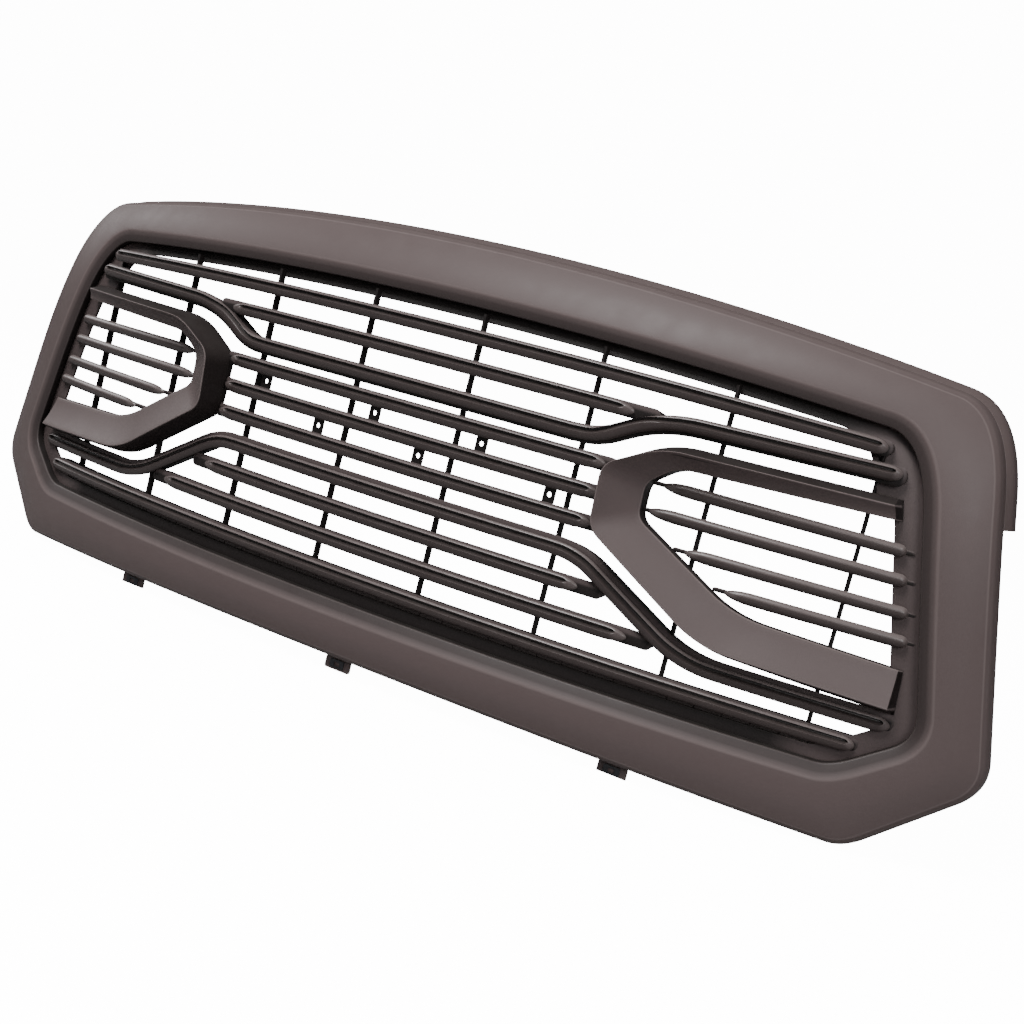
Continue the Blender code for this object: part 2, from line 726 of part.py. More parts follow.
def make_rear_flange():
    """A curved flange behind the top edge of the surround, from one shoulder round to the other."""
    loop = shell_outline()
    ends = [index for index, point in enumerate(loop) if point.x > 0 and point.y > FLANGE_END_Z]
    right = loop[: max(ends) + 1]
    path = [Vector((-point.x, point.y)) for point in reversed(right[1:])] + right
    normals = []
    for index, point in enumerate(path):
        along = (path[min(index + 1, len(path) - 1)] - path[max(index - 1, 0)]).normalized()
        normals.append(Vector((-along.y, along.x)))
    start = SHELL_PROUD - RETURN_DEPTH - CLEARANCE
    stations = (
        (RETURN_FLARE, start),
        (RETURN_FLARE + FLANGE_FLARE, start - FLANGE_DEPTH * 0.25),
        (RETURN_FLARE + FLANGE_FLARE * 1.15, start - FLANGE_DEPTH),
    )
    rings = []
    for point, normal in zip(path, normals):
        outside = [face(*(point + normal * offset), proud) for offset, proud in stations]
        step_in = Vector((normal.x, 0.0, normal.y)) * FLANGE_WALL
        ring = outside + [spot - step_in for spot in reversed(outside)]
        rings.append(ring)
    shape = bmesh.new()
    add_loft(shape, rings, capped=True)
    flange = link("bonnet_flange", finished(shape, "bonnet_flange"), SATIN_PAINT)
    tabs, holes = bmesh.new(), bmesh.new()
    for x in TOP_TABS:
        low, high = tab_box(x)
        add_box(tabs, low, high)
        hole = Matrix.Translation((x, high[1] - TAB_HOLE_INSET, (low[2] + high[2]) / 2))
        bmesh.ops.create_cone(
            holes, cap_ends=True, segments=ROUND_STEPS, radius1=TAB_HOLE, radius2=TAB_HOLE,
            depth=TAB_WALL * 4, matrix=hole,
        )
    combine(flange, tabs, "flange_tabs", "UNION")
    combine(flange, holes, "flange_tab_holes", "DIFFERENCE")
    return flange


def tab_box(x):
    """A flat mounting tab that reaches back from the rear edge of the flange."""
    top = SHELL_TOP - SHELL_TOP_ARCH * x * x + RETURN_FLARE + FLANGE_FLARE * 1.15
    edge = face(x, top, SHELL_PROUD - RETURN_DEPTH - FLANGE_DEPTH)
    level = top - FLANGE_WALL * 1.1
    return (
        (x - TAB_WIDTH / 2, edge.y - TAB_OVERLAP, level - TAB_WALL),
        (x + TAB_WIDTH / 2, edge.y + TAB_LENGTH, level),
    )


def make_retainer(name, x):
    """A push-in retainer through the tab: a flat head above and a pointed stem below."""
    low, high = tab_box(x)
    head, stem = CLEARANCE, TAB_HOLE - CLEARANCE
    profile = (
        (0.0, head + RETAINER_HEAD_HEIGHT),
        (RETAINER_HEAD * 0.78, head + RETAINER_HEAD_HEIGHT),
        (RETAINER_HEAD, head),
        (stem, head),
        (stem, -TAB_WALL - RETAINER_GRIP),
        (RETAINER_POINT, -TAB_WALL - RETAINER_LENGTH),
        (0.0, -TAB_WALL - RETAINER_LENGTH),
    )
    return turned(name, profile, NYLON, (x, high[1] - TAB_HOLE_INSET, high[2]))


def make_lower_clip(name, x):
    """A folded spring clip, a U in section, pushed up over the surround's lower tab."""
    low, high = hook_box(x)
    front, back = low[1] - CLEARANCE, high[1] + CLEARANCE
    foot = low[2] - CLEARANCE
    top = high[2] - SHELL_WALL
    section = (
        (front - CLIP_WALL, top), (front - CLIP_WALL, foot - CLIP_WALL), (back + CLIP_WALL, foot - CLIP_WALL),
        (back + CLIP_WALL, top), (back, top), (back, foot), (front, foot), (front, top),
    )
    curve = bpy.data.curves.new(name, "CURVE")
    curve.dimensions = "2D"
    curve.fill_mode = "BOTH"
    curve.extrude = CLIP_WIDTH / 2
    edge = curve.splines.new("POLY")
    edge.points.add(len(section) - 1)
    edge.use_cyclic_u = True
    for point, (y, z) in zip(edge.points, section):
        point.co = (y, z, 0.0, 1.0)
    made = link(name, curve, SPRING_STEEL)
    made.location.x = x
    made.rotation_euler = (math.pi / 2, 0.0, math.pi / 2)
    return made


make_surround()
make_rear_flange()
make_insert_carrier()
for number in range(len(SLAT_HEIGHTS)):
    make_strip(number)
for number in range(len(SHORT_HEIGHTS)):
    make_short_strip(number, -1)
    make_short_strip(number, 1)
make_c_bar("c_bar_left", -1)
make_c_bar("c_bar_right", 1)
for number, (x, z) in enumerate(screw_places(), 1):
    make_screw(f"insert_screw_{number:02d}", x, z, face(x, z).y + RIM_WALL + CLEARANCE + head_room(face, x, z))
for side, word in ((-1, "left"), (1, "right")):
    for number, (x, z) in enumerate(bar_screw_places(side), 1):
        seat = bow(x) + PAD_WALL + CLEARANCE + head_room(insert_point, x, z)
        make_screw(f"bar_screw_{word}_{number}", x, z, seat)
for number, x in enumerate(TOP_TABS, 1):
    make_retainer(f"top_retainer_{number}", x)
for name, x in zip(("left", "centre", "right"), LOWER_CLIPS):
    make_lower_clip(f"lower_clip_{name}", x)

# The origin is the middle of the whole grille.
bpy.context.view_layer.update()
graph = bpy.context.evaluated_depsgraph_get()
spots = []
for piece in parts.objects:
    if piece.type == "EMPTY":
        continue
    solid = piece.evaluated_get(graph)
    spots += [solid.matrix_world @ vertex.co for vertex in solid.to_mesh().vertices]
    solid.to_mesh_clear()
for axis in range(3):
    values = [spot[axis] for spot in spots]
    root.location[axis] = -(min(values) + max(values)) / 2
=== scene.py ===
import math

import bmesh
import bpy
import numpy as np
from mathutils import Matrix, Vector


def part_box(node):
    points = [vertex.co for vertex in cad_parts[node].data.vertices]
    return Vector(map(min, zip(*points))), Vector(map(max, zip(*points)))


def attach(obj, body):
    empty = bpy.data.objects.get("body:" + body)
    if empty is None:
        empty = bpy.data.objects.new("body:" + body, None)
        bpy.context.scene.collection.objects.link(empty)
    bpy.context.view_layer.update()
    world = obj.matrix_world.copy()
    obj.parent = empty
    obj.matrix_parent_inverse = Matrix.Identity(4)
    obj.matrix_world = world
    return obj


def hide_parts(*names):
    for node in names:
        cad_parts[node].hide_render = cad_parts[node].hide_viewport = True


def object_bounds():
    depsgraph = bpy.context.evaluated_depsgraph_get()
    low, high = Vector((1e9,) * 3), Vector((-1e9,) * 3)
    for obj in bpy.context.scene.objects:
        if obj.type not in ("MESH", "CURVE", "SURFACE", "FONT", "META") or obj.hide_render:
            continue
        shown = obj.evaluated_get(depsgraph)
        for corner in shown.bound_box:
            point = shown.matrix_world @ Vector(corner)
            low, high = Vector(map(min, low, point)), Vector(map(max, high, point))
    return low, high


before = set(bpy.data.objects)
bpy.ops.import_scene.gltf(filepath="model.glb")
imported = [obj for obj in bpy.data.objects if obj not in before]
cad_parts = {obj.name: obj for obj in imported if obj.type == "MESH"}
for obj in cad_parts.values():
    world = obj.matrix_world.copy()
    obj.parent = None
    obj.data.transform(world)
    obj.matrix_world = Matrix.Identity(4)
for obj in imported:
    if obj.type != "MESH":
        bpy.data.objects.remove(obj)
cad_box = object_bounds()

# ---- The bowed face ----
# Every slat, bar and trim stands on one bowed face, furthest forward in the middle. The surround
# follows it too, but leans back towards the bonnet. Outlines below are drawn flat, as x and height.

BOW, BOW_ENDS = 0.238, 0.147
LEAN, LEAN_START = 3.1, -0.038
TRIM_CREST = 0.008
SHELL_TOP, SHELL_ARCH, RETURN_FLARE = 0.216, 0.138, 0.007
home_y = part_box("slat_trim_05")[0].y + TRIM_CREST
home = Vector((0.0, home_y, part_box("surround")[1].z - SHELL_TOP - RETURN_FLARE))


def bow(x):
    return BOW * x * x + BOW_ENDS * x**4


def upright(x, z, proud=0.0):
    return home + Vector((x, bow(x) - proud, z))


def leaning(x, z, proud=0.0):
    return home + Vector((x, bow(x) + LEAN * max(0.0, z - LEAN_START) ** 3 - proud, z))


def rounded(points, cuts, steps):
    """The path with each inner corner cut back and bent round, for points of any dimension."""
    points = [Vector(point) for point in points]
    path = [points[0]]
    for before, corner, after, cut in zip(points, points[1:], points[2:], cuts):
        back, on = before - corner, after - corner
        start = corner + back.normalized() * min(cut, back.length * 0.48)
        end = corner + on.normalized() * min(cut, on.length * 0.48)
        for step in range(steps + 1):
            t = step / steps
            path.append(start * (1 - t) ** 2 + corner * 2 * t * (1 - t) + end * t * t)
    path.append(points[-1])
    return path


def spread(path, spacing):
    """The path with its long runs divided, so that they can follow the bow."""
    fine = [path[0]]
    for near, far in zip(path, path[1:]):
        count = max(1, math.ceil((far - near).length / spacing))
        fine += [near.lerp(far, step / count) for step in range(1, count + 1)]
    return fine


# ---- Finishes ----
# The painted pieces have a satin coat with a faint orange peel. Painted highlights lie along their edges and
# ridges, and painted shade darkens their deep walls, slopes and grooves towards black. The black mouldings keep
# the fine grain of the tool, and the rim's sides and the floor panel take a paler coat. Both gather a little
# pale dust.


def socket(group, name, direction, kind, value=None):
    made = group.interface.new_socket(name, in_out=direction, socket_type=kind)
    if value is not None:
        made.default_value = value
    return made


def place_node(tree, kind, links=None, **settings):
    """Adds a node, sets its properties, and links or fills its inputs by name or number."""
    node = tree.nodes.new(kind)
    for key, value in settings.items():
        setattr(node, key, value)
    for key, value in (links or {}).items():
        target = node.inputs[key]
        if isinstance(value, bpy.types.NodeSocket):
            tree.links.new(value, target)
        else:
            target.default_value = value
    return node


def calculate(tree, operation, *values, kind="ShaderNodeMath"):
    """One step of arithmetic on sockets and numbers, as a node."""
    return place_node(tree, kind, dict(enumerate(values)), operation=operation).outputs[0]


def scaled(tree, vector, factor):
    return place_node(tree, "ShaderNodeVectorMath", {0: vector, "Scale": factor}, operation="SCALE").outputs[0]


CLOUD_SCALE, PATCH_SCALE, PAINTED_SHADE_STRENGTH = 9.0, 55.0, 0.92
DUST_COLOUR = (0.42, 0.39, 0.36, 1.0)


def surface_group():
    """Colour, roughness and height of a moulded or painted surface, from its place on the piece."""
    group = bpy.data.node_groups.new("moulded surface", "ShaderNodeTree")
    for name, kind, value in (
            ("Place", "Vector", None), ("Colour", "Color", (0.1, 0.09, 0.09, 1.0)),
            ("Edge Colour", "Color", (0.2, 0.18, 0.18, 1.0)), ("Edge", "Float", 0.0), ("Bare", "Float", 0.0),
            ("Roughness", "Float", 0.45), ("Grain Size", "Float", 0.001), ("Mottle", "Float", 0.08),
            ("Dust", "Float", 0.05)):
        socket(group, name, "INPUT", "NodeSocket" + kind, value)
    for name, kind in (("Colour", "Color"), ("Roughness", "Float"), ("Height", "Float")):
        socket(group, name, "OUTPUT", "NodeSocket" + kind)
    entry = place_node(group, "NodeGroupInput").outputs
    exit_node = place_node(group, "NodeGroupOutput")

    def step(operation, *values):
        return calculate(group, operation, *values)

    def noise(scale, detail):
        links = {"Vector": entry["Place"], "Scale": scale, "Detail": detail}
        return place_node(group, "ShaderNodeTexNoise", links).outputs["Fac"]

    grain = noise(step("DIVIDE", 1.0, entry["Grain Size"]), 3.0)
    cloud, patch = noise(CLOUD_SCALE, 4.0), noise(PATCH_SCALE, 5.0)
    mottle = step("MULTIPLY_ADD", cloud, 0.6, step("MULTIPLY", grain, 0.4))
    shade = step("MULTIPLY_ADD", step("SUBTRACT", mottle, 0.5), entry["Mottle"], 1.0)
    # Painted shade: this darkens the colour towards black where the mesh marks it.
    painted_shade_factor = step("MULTIPLY_ADD", entry["Bare"], -PAINTED_SHADE_STRENGTH, 1.0)
    tint = scaled(group, entry["Colour"], step("MULTIPLY", shade, painted_shade_factor))
    # Painted highlight: the edge attribute mixes in the paler edge colour. On the insert's rim and floor panel
    # it is a paler coat.
    highlight_mix = place_node(group, "ShaderNodeMix", {"Factor": entry["Edge"], 6: tint, 7: entry["Edge Colour"]},
                      data_type="RGBA")
    normal = place_node(group, "ShaderNodeNewGeometry").outputs["Normal"]
    facing = place_node(group, "ShaderNodeSeparateXYZ", {"Vector": normal})
    lying = step("MULTIPLY", step("MAXIMUM", facing.outputs["Z"], 0.0), patch)
    dusty = step("MULTIPLY", lying, entry["Dust"])
    coat = place_node(group, "ShaderNodeMix", {"Factor": dusty, 6: highlight_mix.outputs[2], 7: DUST_COLOUR},
                      data_type="RGBA")
    rough = step("MULTIPLY_ADD", step("SUBTRACT", patch, 0.5), 0.16, entry["Roughness"])
    rough = step("ADD", rough, step("MULTIPLY", dusty, 1.5))
    rough = step("SUBTRACT", rough, step("MULTIPLY", entry["Edge"], 0.08))
    group.links.new(coat.outputs[2], exit_node.inputs["Colour"])
    group.links.new(rough, exit_node.inputs["Roughness"])
    group.links.new(grain, exit_node.inputs["Height"])
    return group


surface = surface_group()


def finish(name, colour, edge_colour, roughness, grain, bump, metallic=0.0, specular=0.5):
    """A material for one finish. The mesh's edge attribute says where it carries a painted highlight or a paler
    coat, and its second attribute where painted shade darkens it towards black."""
    made = bpy.data.materials.new(name)
    made.use_nodes = True
    tree = made.node_tree
    shader = tree.nodes["Principled BSDF"]
    coat = place_node(tree, "ShaderNodeGroup", node_tree=surface)
    values = {"Colour": (*colour, 1.0), "Edge Colour": (*edge_colour, 1.0), "Roughness": roughness,
              "Grain Size": grain, "Mottle": 0.10, "Dust": 0.04}
    for key, value in values.items():
        coat.inputs[key].default_value = value
    tree.links.new(place_node(tree, "ShaderNodeTexCoord").outputs["Object"], coat.inputs["Place"])
    for key in ("edge", "bare"):
        mark = place_node(tree, "ShaderNodeAttribute", attribute_name=key).outputs["Fac"]
        tree.links.new(mark, coat.inputs[key.capitalize()])
    relief = place_node(tree, "ShaderNodeBump",
                        {"Height": coat.outputs["Height"], "Strength": bump, "Distance": 0.0004})
    tree.links.new(coat.outputs["Colour"], shader.inputs["Base Color"])
    tree.links.new(coat.outputs["Roughness"], shader.inputs["Roughness"])
    tree.links.new(relief.outputs["Normal"], shader.inputs["Normal"])
    shader.inputs["Metallic"].default_value = metallic
    shader.inputs["Specular IOR Level"].default_value = specular
    return made


# The second colour of each finish is the paler colour of its painted highlights, and on the insert the paler
# coat of its rim and floor panel.
satin_paint = finish("satin_dark_paint", (0.088, 0.0665, 0.0650),
                     (0.17, 0.138, 0.135), 0.46, 0.0012, 0.10, specular=0.22)
trim_paint = finish("satin_trim_paint", (0.044, 0.033, 0.032),
                    (0.13, 0.106, 0.103), 0.36, 0.0012, 0.10, specular=0.35)
black_moulding = finish("grained_black_moulding", (0.014, 0.011, 0.0108),
                        (0.078, 0.060, 0.059), 0.50, 0.0007, 0.35, specular=0.2)
zinc_plate = finish("zinc_plate", (0.55, 0.54, 0.50), (0.8, 0.78, 0.72), 0.32, 0.0006, 0.12, metallic=1.0)
phosphate_spring = finish("phosphate_spring_steel", (0.055, 0.055, 0.06),
                          (0.2, 0.2, 0.21), 0.38, 0.0005, 0.15, metallic=0.9)
natural_nylon = finish("natural_nylon", (0.62, 0.60, 0.55), (0.75, 0.73, 0.68), 0.46, 0.0009, 0.10)


def adopt(piece, finish_made, slot, *nodes):
    """Gives a finished piece its material and its place on the body, and hides the CAD nodes that it stands
    for.
    """
    if finish_made:
        piece.data.materials.clear()
        piece.data.materials.append(finish_made)
    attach(piece, "root")
    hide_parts(*nodes)


# ---- Surround ----
# One painted moulding, 3 mm thick: a soft crowned band with a thin raised lip round the window, a
# slope down to the insert, and a return that turns back round the outside. It is open at the back.

WINDOW_LIP, SHELL_WALL = 0.014, 0.003


def outline(top, arch, half_width, slope, chamfer_z, chamfer_x, bottom, bottom_arch, cuts):
    """A closed outline, clockwise from the top middle: arched top, sloping sides, cut lower corners."""
    corner_x = half_width
    for _ in range(20):
        corner_x = half_width - slope * (top - arch * corner_x * corner_x)
    arch_end = corner_x - cuts[0] * 1.02
    floor_end = chamfer_x - cuts[2] * 1.4
    corners = [
        (arch_end, top - arch * arch_end**2),
        (corner_x, top - arch * corner_x**2),
        (half_width - slope * chamfer_z, chamfer_z),
        (chamfer_x, bottom - bottom_arch * chamfer_x**2),
        (floor_end, bottom - bottom_arch * floor_end**2),
    ]
    bend_steps, top_steps, side_steps, floor_steps = 18, 34, 18, 34
    bend = rounded(corners, cuts, bend_steps)
    turn = bend_steps + 2
    side = [bend[turn - 1].lerp(bend[turn], step / side_steps) for step in range(1, side_steps)]
    ends = [arch_end * step / top_steps for step in range(top_steps)]
    floor = [floor_end * (floor_steps - 1 - step) / floor_steps for step in range(floor_steps)]
    right = [Vector((x, top - arch * x * x)) for x in ends] + bend[:turn] + side + bend[turn:]
    right += [Vector((x, bottom - bottom_arch * x * x)) for x in floor]
    return right + [Vector((-point.x, point.y)) for point in reversed(right[1:-1])]


def grown(loop, distance):
    count = len(loop)
    moved = []
    for index, point in enumerate(loop):
        along = (loop[(index + 1) % count] - loop[index - 1]).normalized()
        moved.append(point + Vector((-along.y, along.x)) * distance)
    return moved


WINDOW_TOP, WINDOW_ARCH, WINDOW_BOTTOM = 0.159, 0.083, -0.1565
shell = outline(SHELL_TOP, SHELL_ARCH, 0.570, 0.22, -0.141, 0.507, -0.2065, 0.049, (0.076, 0.022, 0.018))
window = outline(WINDOW_TOP, WINDOW_ARCH, 0.5156, 0.24, -0.114, 0.481, WINDOW_BOTTOM, 0.0,
                 (0.070, 0.023, 0.020))


def blended(first, second, share):
    return [a.lerp(b, share) for a, b in zip(first, second)]


def put(name, data):
    """A new object in the scene."""
    made = bpy.data.objects.new(name, data)
    bpy.context.scene.collection.objects.link(made)
    return made


def skin(name, rows, wrap_rows=False, wrap_points=True, caps=False, edges=None, bare=None):
    """A mesh from rows of matching points. Edges hold painted highlight and paler coat, and the second list
    painted shade, one value for each point.
    """
    rows = [list(row) for row in rows]
    count = len(rows[0])
    points = [tuple(point) for row in rows for point in row]
    faces = []
    for near in range(len(rows) if wrap_rows else len(rows) - 1):
        far = (near + 1) % len(rows)
        for index in range(count if wrap_points else count - 1):
            after = (index + 1) % count
            faces.append((near * count + index, far * count + index, far * count + after, near * count + after))
    if caps:
        faces.append(tuple(range(count)))
        faces.append(tuple(reversed(range((len(rows) - 1) * count, len(rows) * count))))
    mesh = bpy.data.meshes.new(name)
    mesh.from_pydata(points, [], faces)
    for key, values in (("edge", edges), ("bare", bare)):
        if values is not None:
            flat = np.ravel(values).astype(np.float32)
            mesh.attributes.new(key, "FLOAT", "POINT").data.foreach_set("value", flat)
    return put(name, mesh)


def settle(piece, *others, closed=True, sharp=math.radians(38)):
    """Applies the piece's modifiers, joins the others to it, points its faces outwards and smooths it."""
    bpy.context.view_layer.update()
    graph = bpy.context.evaluated_depsgraph_get()
    together = bmesh.new()
    for part in (piece, *others):
        made = bpy.data.meshes.new_from_object(part.evaluated_get(graph))
        made.transform(part.matrix_world)
        together.from_mesh(made)
    bmesh.ops.remove_doubles(together, verts=together.verts, dist=2e-6)
    if closed:
        bmesh.ops.recalc_face_normals(together, faces=together.faces)
    mesh = bpy.data.meshes.new(piece.name)
    together.to_mesh(mesh)
    together.free()
    mesh.shade_smooth()
    mesh.set_sharp_from_angle(angle=sharp)
    name = piece.name
    for part in (piece, *others):
        bpy.data.objects.remove(part, do_unlink=True)
    return put(name, mesh)


lip = grown(window, WINDOW_LIP)
# Loop, how far it stands proud of the face, how far its corner is rounded, and how strong a painted highlight
# it carries.
levels = (
    (grown(shell, RETURN_FLARE), -0.0073, 0.000, 0.3),
    (grown(shell, RETURN_FLARE * 0.93), 0.0030, 0.004, 0.0),
    (grown(shell, RETURN_FLARE * 0.55), 0.0102, 0.003, 0.1),
    (shell, 0.0127, 0.0014, 0.45),
    (blended(shell, lip, 0.25), 0.0152, 0.012, 0.0),
    (blended(shell, lip, 0.5), 0.0166, 0.012, 0.0),
    (blended(shell, lip, 0.78), 0.0168, 0.012, 0.0),
    (lip, 0.0163, 0.0020, 0.35),
    (grown(window, WINDOW_LIP * 0.72), 0.0142, 0.003, 0.1),
    (window, 0.0095, 0.0016, 0.2),
    (grown(window, -0.0004), 0.0004, 0.000, 0.0),
)
corner_steps = 4
# Painted highlight along the section's rounded corners, strongest on the crease and the lip.
section_highlight = [levels[0][3]]
for level in levels[1:-1]:
    section_highlight += [level[3] * math.sin(math.pi * step / corner_steps) for step in range(corner_steps + 1)]
section_highlight.append(levels[-1][3])
columns = []
for index in range(len(shell)):
    points = [leaning(*loop[index], proud) for loop, proud, _, _ in levels]
    columns.append(rounded(points, [level[2] for level in levels[1:-1]], corner_steps))
rows = [[column[place] for column in columns] for place in range(len(columns[0]))]
surround_highlight = [[value] * len(columns) for value in section_highlight]
# Painted shade: the colour darkens from the lip down the slope, and the steep wall round the window is painted
# near black.
slope_start = len(rows) - 2 * (corner_steps + 1) - 1
slope_shade = [max(0.0, place - slope_start) / (len(rows) - 1 - slope_start) for place in range(len(rows))]
surround = skin("surround_moulding", rows, edges=surround_highlight, bare=[[value**0.6] * len(columns) for value in slope_shade])
wall = surround.modifiers.new("wall", "SOLIDIFY")
wall.thickness = SHELL_WALL
wall.offset = -1.0
wall.use_even_offset = True

# Hollow bosses behind the window take the insert's screws, and three tabs drop from the floor's rear edge.
BOSS_RADIUS, BOSS_BORE, BOSS_LENGTH = 0.0042, 0.0023, 0.0088


def plate(name, outlines, thickness, bevel, matrix):
    """A flat plate: the first outline is its edge, the others are holes. It lies in the matrix's XY plane."""
    curve = bpy.data.curves.new(name, "CURVE")
    curve.dimensions = "2D"
    curve.fill_mode = "BOTH"
    curve.extrude = thickness / 2 - bevel
    curve.bevel_depth = bevel
    curve.bevel_resolution = 1
    curve.offset = -bevel
    for points in outlines:
        spline = curve.splines.new("POLY")
        spline.points.add(len(points) - 1)
        spline.use_cyclic_u = True
        for target, point in zip(spline.points, points):
            target.co = (point[0], point[1], 0.0, 1.0)
    made = put(name, curve)
    made.matrix_world = matrix
    return made


def circle(x, y, radius, steps=28):
    turn = 2 * math.pi / steps
    return [(x + radius * math.cos(turn * step), y + radius * math.sin(turn * step)) for step in range(steps)]


def soft_box(width, height, radius, steps=5):
    """A rectangle with round corners, about its middle."""
    points = []
    for quarter, (x, y) in enumerate(((1, 1), (-1, 1), (-1, -1), (1, -1))):
        for step in range(steps + 1):
            angle = math.pi / 2 * (quarter + step / steps)
            points.append((x * (width / 2 - radius) + radius * math.cos(angle),
                           y * (height / 2 - radius) + radius * math.sin(angle)))
    return points


FACING_BACK = Matrix.Rotation(math.pi / 2, 4, "X")


def boss(length, place):
    """A hollow screw boss along the depth, by its middle."""
    rings = [circle(0, 0, BOSS_RADIUS), circle(0, 0, BOSS_BORE)]
    return plate("boss", rings, length, 0.0003, Matrix.Translation(place) @ FACING_BACK)


extras = []
screw_nodes = [f"insert_screw_{number:02d}" for number in range(1, 11)]
for node in screw_nodes:
    low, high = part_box(node)
    middle = (low + high) / 2
    seat = leaning(middle.x, middle.z - home.z).y
    extras.append(boss(BOSS_LENGTH, (middle.x, seat - 0.0066, middle.z)))
HOOK_WIDTH, HOOK_HEIGHT, HOOK_WALL = 0.030, 0.0128, 0.003
for word in ("left", "centre", "right"):
    low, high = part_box(f"lower_clip_{word}")
    middle = (low + high) / 2
    extras.append(plate("hook", [soft_box(HOOK_WIDTH, HOOK_HEIGHT, 0.0022)], HOOK_WALL, 0.0004,
                        Matrix.Translation((middle.x, middle.y, middle.z - 0.0001)) @ FACING_BACK))
surround = settle(surround, *extras, closed=False)
adopt(surround, satin_paint, "surround_paint", "surround")


# ---- Bonnet flange ----
# A second painted moulding behind the top of the surround, which closes the gap up to the bonnet. It runs
# from one shoulder round to the other, ends squarely, and carries four flat tabs drilled for retainers.

FLANGE_END_Z, FLANGE_FLARE, FLANGE_DEPTH, FLANGE_WALL = 0.066, 0.006, 0.026, 0.003
FLANGE_START = -0.0077
shoulder = max(index for index, point in enumerate(shell) if point.x > 0 and point.y > FLANGE_END_Z)
arc = shell[: shoulder + 1]
arc = [Vector((-point.x, point.y)) for point in reversed(arc[1:])] + arc
flange_rows = []
for index, point in enumerate(arc):
    along = (arc[min(index + 1, len(arc) - 1)] - arc[max(index - 1, 0)]).normalized()
    out = Vector((-along.y, along.x))
    stations = (
        (RETURN_FLARE, FLANGE_START),
        (RETURN_FLARE + FLANGE_FLARE, FLANGE_START - FLANGE_DEPTH * 0.25),
        (RETURN_FLARE + FLANGE_FLARE * 1.15, FLANGE_START - FLANGE_DEPTH),
    )
    outside = [leaning(*(point + out * offset), proud) for offset, proud in stations]
    inward = Vector((out.x, 0.0, out.y)) * FLANGE_WALL
    ring = outside + [spot - inward for spot in reversed(outside)]
    closed_ring = [ring[-1].lerp(ring[0], 0.5), *ring, ring[-1].lerp(ring[0], 0.5)]
    flange_rows.append(rounded(closed_ring, (0.0012, 0.006, 0.0012, 0.0012, 0.005, 0.0012), 4)[:-1])
# Painted highlight along the flange's front corner.
flange_highlight = [0.0] * len(flange_rows[0])
for step in range(1, corner_steps + 1):
    flange_highlight[step] = 0.6 * math.sin(math.pi * step / corner_steps)
flange = skin("flange_moulding", flange_rows, caps=True, edges=[flange_highlight] * len(flange_rows))
TAB_WIDTH, TAB_LENGTH, TAB_WALL, TAB_HOLE, TAB_HOLE_BACK = 0.036, 0.036, 0.003, 0.0042, 0.006
tabs = []
for number in range(1, 5):
    low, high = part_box(f"top_retainer_{number}")
    middle = (low + high) / 2
    x = middle.x
    top = SHELL_TOP - SHELL_ARCH * x * x + RETURN_FLARE + FLANGE_FLARE * 1.15 - FLANGE_WALL * 1.1
    place = Vector((x, middle.y, home.z + top))
    edges = [soft_box(TAB_WIDTH, TAB_LENGTH, 0.004), circle(0.0, TAB_HOLE_BACK, TAB_HOLE)]
    tabs.append(plate("tab", edges, TAB_WALL, 0.0004,
                      Matrix.Translation(place - Vector((0.0, TAB_HOLE_BACK, TAB_WALL / 2)))))
flange = settle(flange, *tabs)
adopt(flange, satin_paint, "surround_paint", "bonnet_flange")


# ---- Slats, as one Geometry Nodes tree ----
# Each slat's outline is drawn once as a closed flat loop. The tree gives it a section from that
# outline in to a line along its middle, wraps it on the bow and closes it. The line carries a groove.


